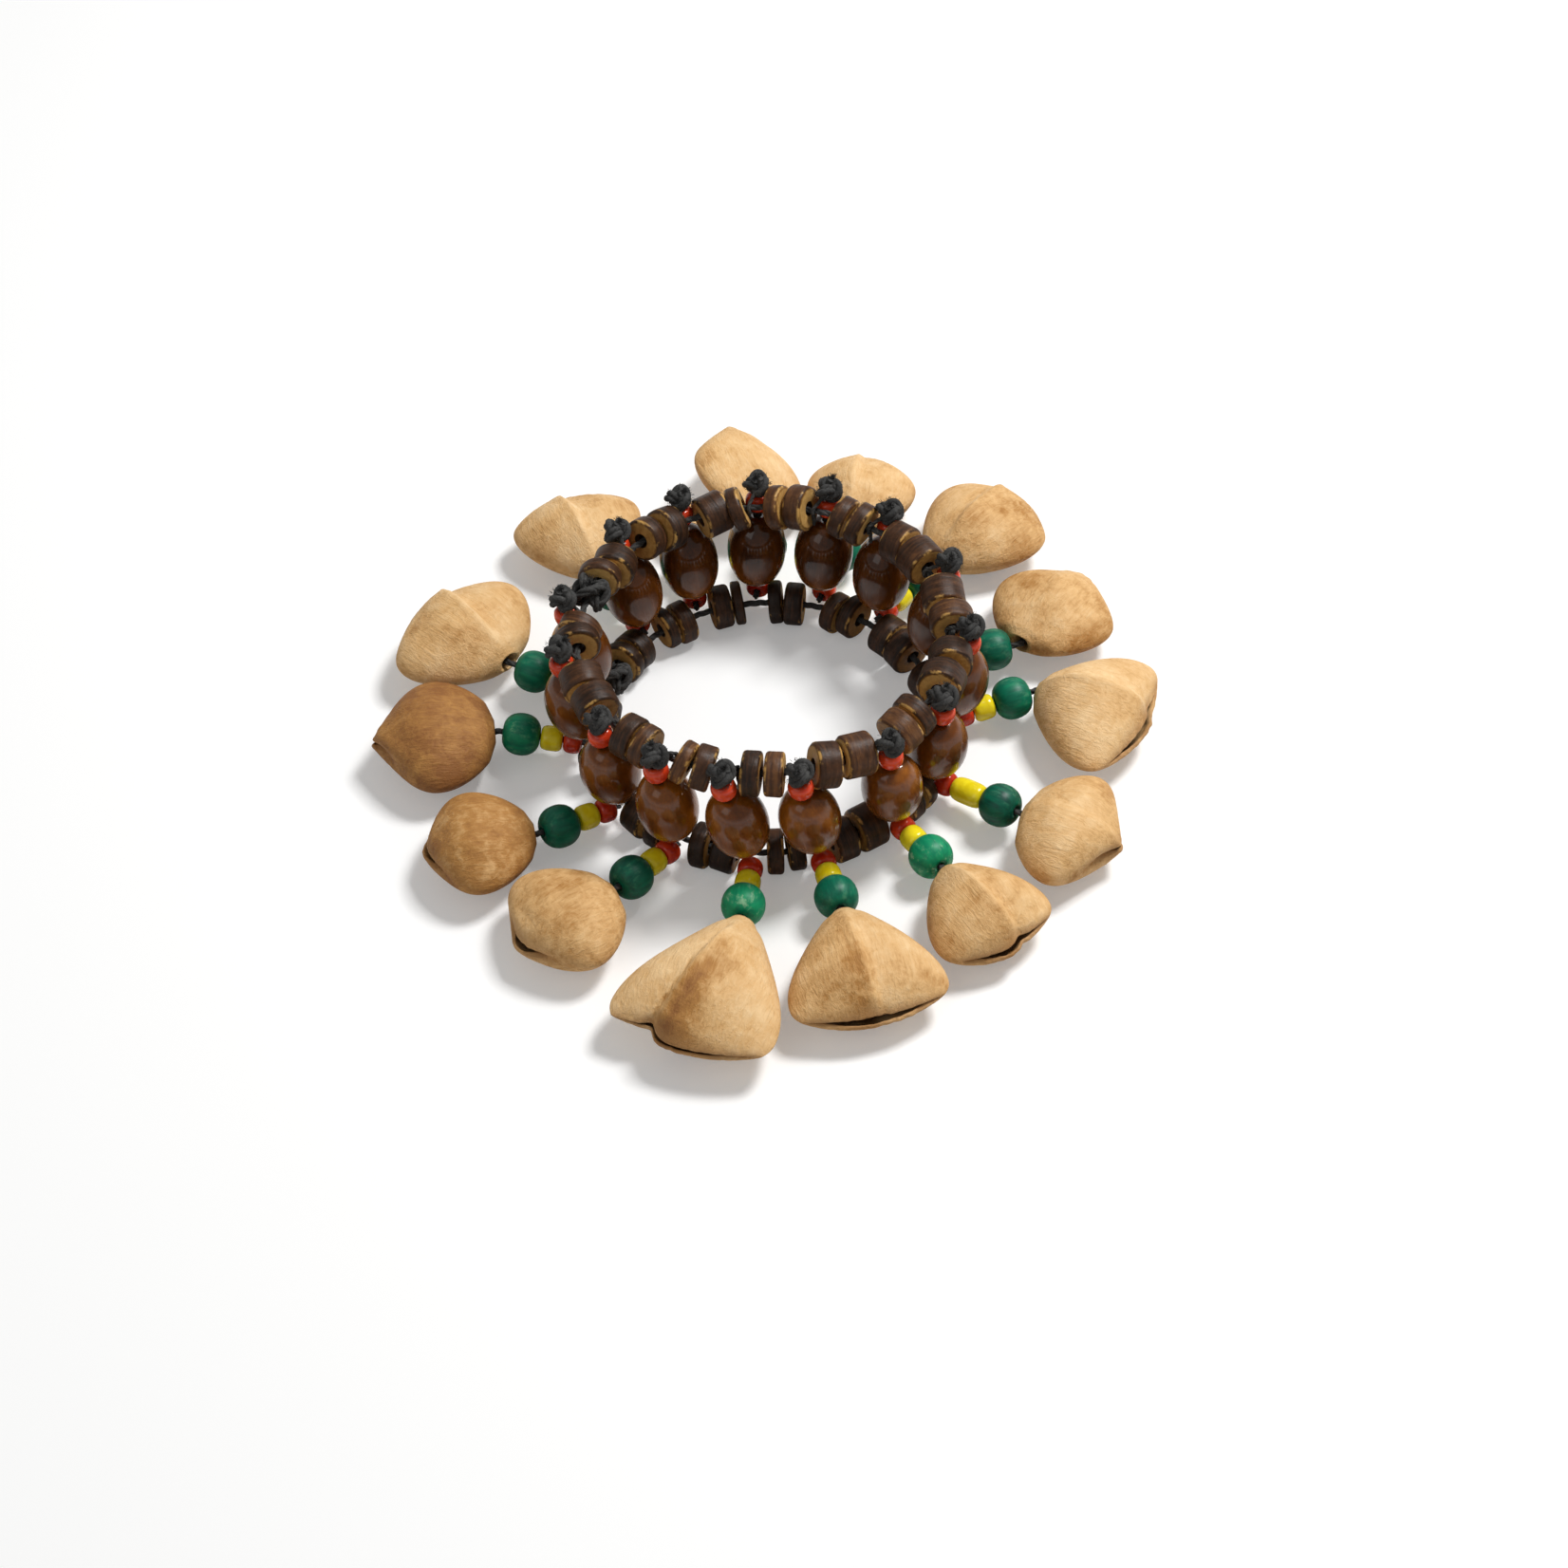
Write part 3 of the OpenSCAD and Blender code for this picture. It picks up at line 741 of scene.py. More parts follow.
def disc_ring(node, name, tones, dice):
    group = []
    for number, corners in enumerate(solids(node)):
        centre = middle(corners)
        along = Vector((-centre.y, centre.x, 0)).normalized()
        centre, half, radius, bore = bead_sizes(corners, along)
        half *= dice.uniform(*THICKNESS_SPREAD)
        radius *= dice.uniform(*WIDTH_SPREAD)
        marks = disc_marks(half, radius, dice.uniform(*GILT_SPREAD))
        bm = cut_disc(bore, radius, half, number)
        turn = math.atan2(centre.y, centre.x)
        leans = [DISC_LEAN * noise.noise(Vector((LEAN_CELLS * turn, 5 * axis, centre.z))) for axis in (1, 2)]
        lean = Matrix.Rotation(leans[0], 4, "X") @ Matrix.Rotation(leans[1], 4, "Y")
        slip = Vector((dice.uniform(-DISC_SLIP, DISC_SLIP), dice.uniform(-DISC_SLIP, DISC_SLIP), 0))
        spin = Matrix.Rotation(dice.uniform(0, ANY_TURN), 4, "Z")
        matrix = aimed(centre, along) @ Matrix.Translation(slip) @ lean @ spin
        gather(group, bm, matrix, number + dice.random(), tone=dice.choice(tones), **marks)
        sunk = FLOOR_CLEAR - min(vert.co.z for vert in group[-1].vertices)
        group[-1].transform(Matrix.Translation((0, 0, max(0, sunk))))
    count = len(group)
    piece(name, joined(group), "ring", node, "coco_disc")
    print(name + ":", count, "discs")


disc_dice = random.Random(7)
disc_ring("upper_discs", "upper_discs_worn", UPPER_TONES, disc_dice)
disc_ring("lower_discs", "lower_discs_worn", LOWER_TONES, disc_dice)

# %% [markdown]
# ## Glass and green beads
# A red glass bead sits over every oval, on the same line, slid up its cord against the elastic. Each
# strand then has a red and a yellow glass bead and a green wooden one. All are turned on the lathe, as
# the ovals are. The line of a strand runs from its hinge to the middle of its last bead, so its three
# solids can be put in order along it.

# %% Top red beads
BEAD_STEPS = 28
TOP_RED_POWER, TOP_RED_POINTS = 2.5, 15
RED_SLIDE, RED_PLAY = 0.8, 0.25
TONE_STEP, TONE_STEPS = 0.03, 4
top_reds = []
top_lines = []
for number, corners in enumerate(solids("top_red_beads")):
    place = middle(corners)
    oval = min(oval_lines, key=lambda line: (line[0] + line[1] * line[2] - place).length)
    along = oval[1]
    centre, half, radius, bore = bead_sizes(corners, along)
    centre += along * RED_SLIDE + outward(centre) * RED_PLAY
    top_lines.append((centre, half, oval))
    bm = turned(bead_outline(bore, radius, half, TOP_RED_POWER, TOP_RED_POINTS), BEAD_STEPS)
    gather(top_reds, bm, aimed(centre, along), number, tone=0.1 + TONE_STEP * (number % TONE_STEPS))
piece("top_red_beads_glass", joined(top_reds), "ring", "top_red_beads", "red_glass")
print("top red beads:", len(top_lines))

# %% Strand beads
BEAD_KINDS = [("red_glass", 2.6), ("yellow_glass", 3.2), ("green_wood", 2.15)]
STRAND_BEAD_STEPS, STRAND_BEAD_POINTS = 32, 19
GREEN_TONES = {1: 0.2, 2: 0.05, 3: 0.0, 4: 0.35, 5: 0.05, 6: 0.32, 7: -0.05, 8: 0.1, 9: 0.02, 15: 0.12}
GREEN_TONE = 0.05
GREEN_WEARS = {1: 0.5, 4: 0.9, 6: 0.9}
GREEN_WEAR = 0.15
strand_lines = {}
for strand in STRANDS:
    hinge = joint_place(f"strand_{strand:02d}_swing")
    node = f"strand_beads_{strand:02d}"
    beads = sorted(solids(node), key=lambda corners: (middle(corners) - hinge).length)
    along = (middle(beads[-1]) - hinge).normalized()
    strand_lines[strand] = (hinge, along)
    for (slot, power), corners in zip(BEAD_KINDS, beads):
        centre, half, radius, bore = bead_sizes(corners, along)
        tone = TONE_STEP * (strand % TONE_STEPS) - 0.05
        if slot == "green_wood":
            tone = GREEN_TONES.get(strand, GREEN_TONE)
        bm = turned(bead_outline(bore, radius, half, power, STRAND_BEAD_POINTS), STRAND_BEAD_STEPS)
        group = []
        gather(group, bm, aimed(centre, along), strand, tone=tone, worn=GREEN_WEARS.get(strand, GREEN_WEAR))
        piece(f"{slot.split('_')[0]}_bead_{strand:02d}", joined(group), f"strand_{strand:02d}", node, slot)
print("strand beads:", len(BEAD_KINDS) * len(strand_lines))

# %% [markdown]
# ## Seed pods
# A pod is the split stone of a fruit. It widens from its cord hole to a long slit between two lips, and
# most pods have a crease down their face, where one lobe stands over the other. Sculpting fifteen of them
# by hand would take long, so a few shape rules make them all, and a short list says how each one differs.
# The rules are a lens-shaped section, the crease, the notch where it meets the slit, the lower lip that
# stands proud, and soft dents.

# %% Looks of the pods
@dataclass
class PodLook:
    """How one pod differs from the others."""

    drop: float  # 0 is wide-mouthed and 1 is drop-shaped
    crease: float  # how strong the crease down its face is
    at: float  # where the crease ends on the slit, from -1 to 1
    side: int  # which side of the crease stands proud
    gap: float  # how far the slit is open, in millimetres
    proud: float  # how far the lower lip stands out past the upper
    tone: float  # how pale the shell is
    notch: float = 0.0  # how deep the notch is where the crease meets the slit
    short: float = 0.0  # how much shorter the low lobe is
    # shade is painted shade: it darkens the proud lobe beside the crease.
    shade: float = 0.0  # how brown the proud lobe is beside the crease
    reach: float = 0.3  # how far the neck reaches up the cord
    slim: float = 1.0  # how much of the frame's length and thickness it fills


POD_LOOKS = {
    1: PodLook(0.9, 0.15, 0.0, 1, 0.5, 0.3, -0.20, reach=0.55),
    2: PodLook(0.55, 0.0, 0.0, 1, 0.6, 0.9, -0.11, reach=0.55),
    3: PodLook(0.6, 0.0, 0.0, 1, 0.5, 1.1, -0.01, reach=0.6),
    4: PodLook(0.0, 1.2, -0.38, 1, 0.3, 0.2, 0.09, notch=1.2, short=2.6, shade=0.32, reach=3.7),
    5: PodLook(0.05, 1.0, 0.05, -1, 0.4, 1.0, 0.03, notch=0.3, shade=0.16, reach=2.3),
    6: PodLook(0.15, 1.2, 0.15, -1, 0.4, 0.7, 0.04, notch=0.8, short=0.8, shade=0.10, reach=0.95),
    7: PodLook(0.8, 0.35, 0.0, -1, 0.4, 0.3, 0.03, reach=0.5),
    8: PodLook(0.15, 1.5, 0.22, -1, 0.5, 0.9, 0.09, notch=0.4, short=0.6, shade=0.08, reach=0.8),
    9: PodLook(0.8, 0.15, 0.3, -1, 0.5, 0.3, -0.02, reach=1.3),
    10: PodLook(0.3, 0.8, 0.3, -1, 0.5, 0.3, -0.01, reach=1.3),
    11: PodLook(0.4, 0.7, 0.1, 1, 0.5, 0.3, 0.03, reach=1.2),
    12: PodLook(1.0, 0.2, 0.0, 1, 0.7, 0.3, 0.04, reach=2.2),
    13: PodLook(0.5, 0.0, 0.0, 1, 0.5, 0.3, 0.0, slim=0.84),
    14: PodLook(0.2, 0.9, 0.1, 1, 0.5, 0.3, 0.03, reach=1.2),
    15: PodLook(0.5, 1.2, -0.22, 1, 0.6, 0.5, 0.03, notch=0.3, shade=0.06, reach=1.2),
}
print("pod looks:", len(POD_LOOKS))

# %% Plan and thickness of a pod
HOLE_START = 0.05
WIDEST_AT, MOUTH_PULL, WIDE_POWER = 0.84, 0.08, 0.72
BLUNT_END, NARROW_END = 0.535, 0.512
DROP_POWER, DROP_POINT = 0.53, 0.2
THICKEST_AT, SWELL_POWER, CLOSE_POWER = 0.48, 0.6, 0.75


def eased(value):
    """A smooth step from 0 to 1."""
    value = min(1, max(0, value))
    return value * value * (3 - 2 * value)


def length_share(t, drop):
    """Half length at a share t of the height, as a share of the greatest: wide-mouthed to drop-shaped."""
    if t > WIDEST_AT:
        wide = 1 - MOUTH_PULL * ((t - WIDEST_AT) / (1 - WIDEST_AT)) ** 2
    else:
        wide = math.sin(math.pi / 2 * (t + HOLE_START) / (WIDEST_AT + HOLE_START)) ** WIDE_POWER
    end, power = (BLUNT_END, DROP_POWER) if t < 0.5 else (NARROW_END, DROP_POWER + DROP_POINT * drop)
    oval = (1 - ((t - 0.5) / end) ** 2) ** power
    return wide + (oval - wide) * drop


def thickness(t, most, lip):
    """Half thickness at a share t of the height: it swells from the hole and closes to the lips."""
    if t > THICKEST_AT:
        closing = max(0, math.cos(math.pi / 2 * (t - THICKEST_AT) / (1 - THICKEST_AT)))
        return lip + (most - lip) * closing ** CLOSE_POWER
    return most * math.sin(math.pi / 2 * (t + HOLE_START) / (THICKEST_AT + HOLE_START)) ** SWELL_POWER


print("wide pod at its slit:", round(length_share(1, 0), 2), "of its greatest length")

# %% Size and crease of a pod
HOLE_RADIUS, HOLE_FLARE = 1.3, 0.22
CREASE_HIGH, CREASE_SOFT, CREASE_CURVE = 1.35, 0.3, 1.3
LOBE_WIDTH = 6
GROOVE, GROOVE_WIDTH = 0.4, 3
RIM_HIGH, RIM_AT, RIM_WIDTH = 0.25, 0.5, 0.6
CREASE_START = 0.3
STEP_LIMIT = 40


class Pod:
    """The size, the place and the crease of one pod, in millimetres in its own frame."""

    def __init__(self, strand):
        flop = f"pod_{strand:02d}_flop"
        self.look = POD_LOOKS[strand]
        self.strand = strand
        self.hole = joint_place(flop)
        corners = solids(f"seed_pod_{strand:02d}")[0] - np.array(self.hole)
        down = Vector(corners.mean(0)).normalized()
        flat = corners - np.outer(corners @ np.array(down), down)
        across = widest_line(flat)
        if across.dot(Vector(joints[flop]["axis"])) > 0:
            across.negate()
        self.axes = Matrix((down, across, down.cross(across))).transposed()
        own = corners @ np.array(self.axes)
        self.low, self.high = own.min(0), own.max(0)
        self.mouth = HOLE_RADIUS + HOLE_FLARE * self.look.reach

    def crease_offset(self, t, across):
        """How far a point is past the crease, on the side that stands proud."""
        line = self.high[1] * self.look.at * t ** CREASE_CURVE
        return (across - line) * self.look.side

    def proud_share(self, past):
        """0 on the low lobe and 1 on the proud one."""
        return 1 / (1 + math.exp(-max(-STEP_LIMIT, min(STEP_LIMIT, past / CREASE_SOFT))))

    def crease_rise(self, t, across, share):
        past = self.crease_offset(t, across)
        proud = self.proud_share(past)
        lobe = CREASE_HIGH * proud * math.exp(-max(past, 0) / LOBE_WIDTH)
        groove = GROOVE * (1 - proud) * math.exp(min(past, 0) / GROOVE_WIDTH)
        rim = RIM_HIGH * math.exp(-(((past - RIM_AT) / RIM_WIDTH) ** 2))
        return self.look.crease * (lobe - groove + rim) * eased(t / CREASE_START) * (1 - share ** 4)


print("pod hole:", 2 * HOLE_RADIUS, "mm")

# %% Surface of a pod
POD_WALL, LIP_WALL, TIP_WALL = 1.35, 0.95, 1.6
NECK_SHARE = 0.06
LENS_POWER, LENS_BULGE = 0.1, 0.12
BACK_CREASE, BACK_NOTCH = 0.6, 0.4
PAST_SLIT, CREASE_FADE, DENT_FADE = 1.02, 0.12, 0.2
DENT, DENT_CELLS, DENT_MIDDLE = 0.7, 0.11, 0.15
RIPPLE, RIPPLE_CELLS = 0.16, 0.33
SLIT_BOW = 3
RAGGED, RAGGED_CELLS = 0.22, 0.9
NOTCH_WIDTH = 1.8
LIP_ROUND = 0.3
LEAST_RISE = 0.02


def pod_section(pod, t, depth):
    """Half length and half thickness of a section, and how far it is from the round hole to a lens."""
    look = pod.look
    opened = min(1, t / NECK_SHARE) ** 0.5
    long = pod.mouth + (pod.high[1] * look.slim * length_share(t, look.drop) - pod.mouth) * opened
    thick = thickness(t, pod.high[2] * look.slim, look.gap / 2 + LIP_WALL)
    thick = pod.mouth + (thick - pod.mouth) * opened
    long -= depth * POD_WALL * TIP_WALL
    thick -= depth * (POD_WALL + (LIP_WALL - POD_WALL) * t ** 3)
    return long, thick, opened


def pod_rise(pod, t, share, face, depth):
    """How far out along the pod a corner is, and how high over its middle plane."""
    long, thick, opened = pod_section(pod, t, depth)
    across = long * share
    rise = thick * max(0, 1 - abs(share) ** (2 - LENS_POWER * opened)) ** (0.5 + LENS_BULGE * opened)
    crease = pod.crease_rise(t, across, share) * (1 if face > 0 else BACK_CREASE)
    rise += crease * eased((PAST_SLIT - t) / CREASE_FADE)
    place = Vector((across, face * rise * 2, t * (pod.high[0] - pod.low[0])))
    dent = noise.noise(place * DENT_CELLS + Vector((7.3 * pod.strand, 0, 0)))
    ripple = noise.noise(place * RIPPLE_CELLS + Vector((0, 5.1 * pod.strand, 0)))
    dents = (DENT * (dent - DENT_MIDDLE) + RIPPLE * ripple) * (1 - share * share)
    return across, rise + dents * eased(t / DENT_FADE) * eased((PAST_SLIT - t) / DENT_FADE)


def pod_point(pod, t, turn, depth):
    """Where a corner goes: t runs from hole to slit, turn round the section, depth through the wall."""
    look = pod.look
    share = math.cos(turn)
    face = 1 if math.sin(turn) >= 0 else -1
    off_tips = 1 - share * share
    across, rise = pod_rise(pod, t, share, face, depth)
    tall = pod.high[0] - pod.low[0]
    out = t * tall - SLIT_BOW * t * t * share * share + pod.low[0] - look.reach * (1 - t) ** 5
    ragged = RAGGED * noise.noise(Vector((across * RAGGED_CELLS, face * 3.0, pod.strand)))
    out += (ragged - (look.proud if face > 0 else 0)) * t ** 7 * off_tips
    past = pod.crease_offset(t, across)
    out -= look.short * (1 - pod.proud_share(past)) * t ** 5 * off_tips
    notch = look.notch * (1 if face > 0 else BACK_NOTCH)
    out -= notch * math.exp(-((past / NOTCH_WIDTH) ** 2)) * t ** 8
    if t == 1:
        out += LIP_ROUND * math.sin(math.pi * depth)
    return Vector((out, across, face * max(LEAST_RISE, rise)))


print("pod walls:", POD_WALL, "mm, and", LIP_WALL, "mm at the lips")

# %% Colour marks of a pod
# Painted shade beside the crease on the proud lobe, and a painted highlight along the crease's ridge.
PAINTED_SHADE_AT, PAINTED_SHADE_WIDTH, PAINTED_SHADE_START, PAINTED_SHADE_FADE = 2.5, 4.2, 0.2, 0.4
PAINTED_RIDGE_HIGHLIGHT, RIDGE_WIDTH, RIDGE_START = 0.06, 0.7, 0.2
TIP_BROWN = 0.05
LIP_DEEP, LIP_INSIDE = 0.3, 0.1
LIP_MARK, LIP_NARROW = 0.8, 30


def pod_tone_and_painted_light(pod, t, turn):
    """Shell tone: painted highlight on the crease, painted shade beside it on the proud lobe, darker tips.
    """
    across = pod.high[1] * length_share(t, pod.look.drop) * math.cos(turn)
    past = pod.crease_offset(t, across)
    painted_shade = 0
    if past > -1:
        fade = eased((t - PAINTED_SHADE_START) / PAINTED_SHADE_FADE)
        painted_shade = pod.look.shade * math.exp(-abs(past - PAINTED_SHADE_AT) / PAINTED_SHADE_WIDTH) * fade
    painted_highlight = PAINTED_RIDGE_HIGHLIGHT * pod.look.crease * math.exp(-((past / RIDGE_WIDTH) ** 2)) * eased(t / RIDGE_START)
    return pod.look.tone + painted_highlight - painted_shade - TIP_BROWN * abs(math.cos(turn)) ** 8


def pod_marks(pod, t, turn, depth):
    from_lip = LIP_INSIDE + (1 - LIP_INSIDE) * eased((1 - t) / LIP_DEEP)
    return {
        "tone": pod_tone_and_painted_light(pod, t, turn),
        "inside": eased((depth - 0.3) / 0.6) * from_lip,
        "lip": LIP_MARK * t ** LIP_NARROW,
    }


print("pod marks:", ", ".join(pod_marks(Pod(1), 1, 0, 0)))

# %% [markdown]
# ## Making the pods
# A pod starts as a ring of corners round its cord hole. The ring is extruded row by row down to the slit,
# over the lip, back up the inside and into the hole, and the two open ends are bridged, so the shell has
# a real wall and a real hollow. The rules above say where the corners of each row go. The pods lie on the
# table, so a corner that would be under it is lifted onto it.

# %% Rows of a pod
POD_SPOKES = 120
OUTER_ROWS, INNER_ROWS = 60, 22
ROW_POWER = 1.25
INNER_SHARE = 0.86


def pod_rows():
    """The rows after the hole, over the lip and back: share of the height, and share of the wall's depth."""
    outer = [((k / OUTER_ROWS) ** ROW_POWER, 0) for k in range(1, OUTER_ROWS + 1)]
    lip = [(1, 0.2), (1, 0.5), (1, 0.8)]
    inner = [(1 - INNER_SHARE * (k / INNER_ROWS), 1) for k in range(INNER_ROWS + 1)]
    return outer + lip + inner


def hole_point(turn, height, radius):
    return Vector((height, radius * math.cos(turn), radius * math.sin(turn)))


def extruded(bm, edges):
    """The new corners and the new ring of edges of an extruded ring."""
    made = bmesh.ops.extrude_edge_only(bm, edges=edges)["geom"]
    verts = [item for item in made if isinstance(item, bmesh.types.BMVert)]
    fresh = set(verts)
    ring_edges = [item for item in made if isinstance(item, bmesh.types.BMEdge)
                  and item.verts[0] in fresh and item.verts[1] in fresh]
    return verts, ring_edges


print("pod rows:", len(pod_rows()), "of", POD_SPOKES, "corners")

# %% Pods
NECK = 2.4
HOLE_RIM = 0.4
POD_STEP = Vector((17.3, 41.9, 23.1))


def make_pod(strand):
    pod = Pod(strand)
    bm = bmesh.new()
    spoke = bm.verts.layers.int.new("spoke")
    place = bm.verts.layers.float_vector.new(PLACE)
    layers = {name: bm.verts.layers.float.new(name) for name in ("tone", "inside", "lip")}
    ring = bmesh.ops.create_circle(bm, segments=POD_SPOKES, radius=HOLE_RADIUS)["verts"]
    for number, vert in enumerate(ring):
        vert[spoke] = number
    first_edges = list({edge for vert in ring for edge in vert.link_edges})

    def set_row(verts, t, depth, where=None):
        for vert in verts:
            turn = 2 * math.pi * (vert[spoke] + 0.5) / POD_SPOKES
            vert.co = where(turn) if where else pod_point(pod, t, turn, depth)
            vert[place] = vert.co + POD_STEP * strand
            for name, value in pod_marks(pod, t, turn, depth).items():
                vert[layers[name]] = value

    rim = pod.low[0] - pod.look.reach + HOLE_RIM
    set_row(ring, 0, 0, lambda turn: hole_point(turn, rim, pod.mouth))
    edges = first_edges
    for t, depth in pod_rows():
        verts, edges = extruded(bm, edges)
        set_row(verts, t, depth)
    verts, edges = extruded(bm, edges)
    set_row(verts, 0, 1, lambda turn: hole_point(turn, NECK / 2, HOLE_RADIUS))
    bmesh.ops.bridge_loops(bm, edges=first_edges + edges)
    bmesh.ops.recalc_face_normals(bm, faces=bm.faces)
    bm.verts.layers.int.remove(spoke)
    matrix = Matrix.Scale(MM, 4) @ Matrix.Translation(pod.hole) @ pod.axes.to_4x4()
    bmesh.ops.transform(bm, matrix=matrix, verts=bm.verts)
    for vert in bm.verts:
        vert.co.z = max(vert.co.z, FLOOR_CLEAR)
    mesh = bpy.data.meshes.new("pod")
    bm.to_mesh(mesh)
    bm.free()
    piece(f"pod_shell_{strand:02d}", mesh, f"pod_{strand:02d}", f"seed_pod_{strand:02d}", "pod_shell")
    return pod


pods = {strand: make_pod(strand) for strand in STRANDS}
pod_lengths = [round(2 * pod.high[1], 1) for pod in pods.values()]
print("pods:", len(pods), "from", min(pod_lengths), "to", max(pod_lengths), "mm long")

# %% [markdown]
# ## Cord
# The black cord is cotton laid up from three plies. A plain tube with a bump map would look like rubber,
# so each ply is a thin curve that winds round the cord's own line, and a curve with a round bevel becomes
# a tube. Knots use the same helper on a knotted line: a trefoil is the closed form of an overhand knot,
# and pulled tight it is the lump that stops a bead. Frayed ends and fuzz are thin tapered curves.

# %% Path and plies of a cord
CORD_STEP = 0.35
PLIES = 3
PLY_SHARE, PLY_PITCH = 0.54, 1.5


def smooth_path(points):
    """A path through the points with rounded corners, in short steps."""
    made = []
    ends = [2 * points[0] - points[1]] + points + [2 * points[-1] - points[-2]]
    for a, b, c, d in zip(ends, ends[1:], ends[2:], ends[3:]):
        count = max(2, int((c - b).length / CORD_STEP))
        for k in range(count):
            t = k / count
            made.append(0.5 * (2 * b + (c - a) * t + (2 * a - 5 * b + 4 * c - d) * t * t
                               + (3 * b - a - 3 * c + d) * t ** 3))
    return made + [points[-1]]


def plies(path, radius, closed=False):
    """The plies of a cord along a path, each a list of (point, radius)."""
    count = len(path)
    wound = [[] for _ in range(PLIES)]
    side = None
    run = 0
    for k, point in enumerate(path):
        after = path[(k + 1) % count] if closed or k + 1 < count else point
        before = path[k - 1] if closed or k else point
        ahead = (after - before).normalized()
        side = ahead.orthogonal() if side is None else side - side.dot(ahead) * ahead
        side.normalize()
        over = ahead.cross(side)
        for ply in range(PLIES):
            turn = run / (radius * PLY_PITCH) + 2 * math.pi * ply / PLIES
            offset = radius * (1 - PLY_SHARE) * (math.cos(turn) * side + math.sin(turn) * over)
            wound[ply].append((point + offset, radius * PLY_SHARE))
        run += (after - point).length
    return wound


print("cord:", PLIES, "plies")


# %% Tubes
def tubes(strands, closed=False, sides=2):
    """A mesh of round tubes along lists of (point, radius), in millimetres."""
    data = bpy.data.curves.new("tubes", "CURVE")
    data.dimensions = "3D"
    data.bevel_depth = MM
    data.bevel_resolution = sides
    data.use_fill_caps = not closed
    data.twist_mode = "MINIMUM"
    for strand in strands:
        spline = data.splines.new("POLY")
        spline.points.add(len(strand) - 1)
        spline.use_cyclic_u = closed
        for corner, (point, radius) in zip(spline.points, strand):
            corner.co = (*(point * MM), 1)
            corner.radius = radius
    holder = bpy.data.objects.new("tubes", data)
    bpy.context.scene.collection.objects.link(holder)
    mesh = bpy.data.meshes.new_from_object(holder.evaluated_get(bpy.context.evaluated_depsgraph_get()))
    bpy.data.objects.remove(holder)
    bpy.data.curves.remove(data)
    return mesh


def open_cord(path, radius):
    return tubes(plies(path, radius))


def closed_cord(path, radius):
    return tubes(plies(path, radius, True), True)


print("tubes: ready")

# %% Knots and loose fibres
KNOT_POINTS = 84
KNOT_SQUASH = 0.8
TREFOIL_WIDTH = 6


def knot_path(centre, along, size, turn):
    """A trefoil of the given width round a cord's line."""
    axes = along.to_track_quat("Z", "Y").to_matrix() @ Matrix.Rotation(turn, 3, "Z")
    path = []
    for k in range(KNOT_POINTS):
        a = 2 * math.pi * k / KNOT_POINTS
        own = Vector((math.sin(a) + 2 * math.sin(2 * a), math.cos(a) - 2 * math.cos(2 * a),
                      -KNOT_SQUASH * 2 * math.sin(3 * a)))
        path.append(centre + axes @ own * size / TREFOIL_WIDTH)
    return path


def scatter(dice, size=1):
    return Vector((dice.gauss(0, size), dice.gauss(0, size), dice.gauss(0, size)))


def frayed(root, along, length, spread, count, radius, dice):
    """Loose fibres that fan out from the end of a cord."""
    fibres = []
    for _ in range(count):
        lean = scatter(dice) * spread
        heading = (along + lean).normalized()
        bend = scatter(dice) * 0.25 * length
        start = root + lean * 0.5 * radius
        reach = length * dice.uniform(0.6, 1)
        fibres.append([(start, radius), (start + heading * reach * 0.5, radius * 0.9),
                       (start + heading * reach + bend * 0.5, radius * 0.4)])
    return fibres


print("knots: ready")

# %% [markdown]
# ## Elastics
# Each elastic is a closed loop of black cord through the discs, tied in one big knot beside the strand on
# the left. The loop could be a torus, but laid plies match the other cords. Its circle is read from its
# node, and the knot stands where the node's corners are furthest above or below the circle. Two trefoils
# over each other make it.

# %% Elastics
ELASTIC_RADIUS, ELASTIC_POINTS = 0.62, 420
CLOSING_KNOT = 7.4
INNER_TURN, OUTER_TURN = 0.4, 1.3
INNER_PLY, OUTER_PLY = 0.9, 0.8
OUTER_AIM, OUTER_LIFT = Vector((0.3, 0.2, 1)), Vector((0, 0, 0.8))
ENDS_AIM, ENDS_LIFT = Vector((0.2, 0.1, 1)), Vector((0, 0, 1.6))
ENDS = {"length": 2.6, "spread": 0.6, "count": 40, "radius": 0.09}
cord_dice = random.Random(11)


def on_circle(radius, turn, height):
    return Vector((radius * math.cos(turn), radius * math.sin(turn), height))


def elastic(node):
    corners = solids(node)[0]
    height = float(np.median(corners[:, 2]))
    circle = float(np.median(np.hypot(corners[:, 0], corners[:, 1])))
    far = corners[np.argmax(abs(corners[:, 2] - height))]
    turn = math.atan2(far[1], far[0])
    path = [on_circle(circle, 2 * math.pi * k / ELASTIC_POINTS, height) for k in range(ELASTIC_POINTS)]
    knot = on_circle(circle, turn, height)
    tangent = Vector((-math.sin(turn), math.cos(turn), 0))
    inner = knot_path(knot, tangent, CLOSING_KNOT * 0.75, INNER_TURN)
    outer = knot_path(knot + OUTER_LIFT, OUTER_AIM.normalized(), CLOSING_KNOT * 0.8, OUTER_TURN)
    group = [closed_cord(path, ELASTIC_RADIUS), closed_cord(inner, INNER_PLY), closed_cord(outer, OUTER_PLY)]
    group.append(tubes(frayed(knot + ENDS_LIFT, ENDS_AIM, dice=cord_dice, **ENDS), sides=0))
    piece(node + "_cord", joined(group), "ring", node, "black_cord")
    print(node + ":", round(2 * math.pi * circle), "mm round")
    return circle, height


upper_circle, upper_height = elastic("upper_elastic")
elastic("lower_elastic")

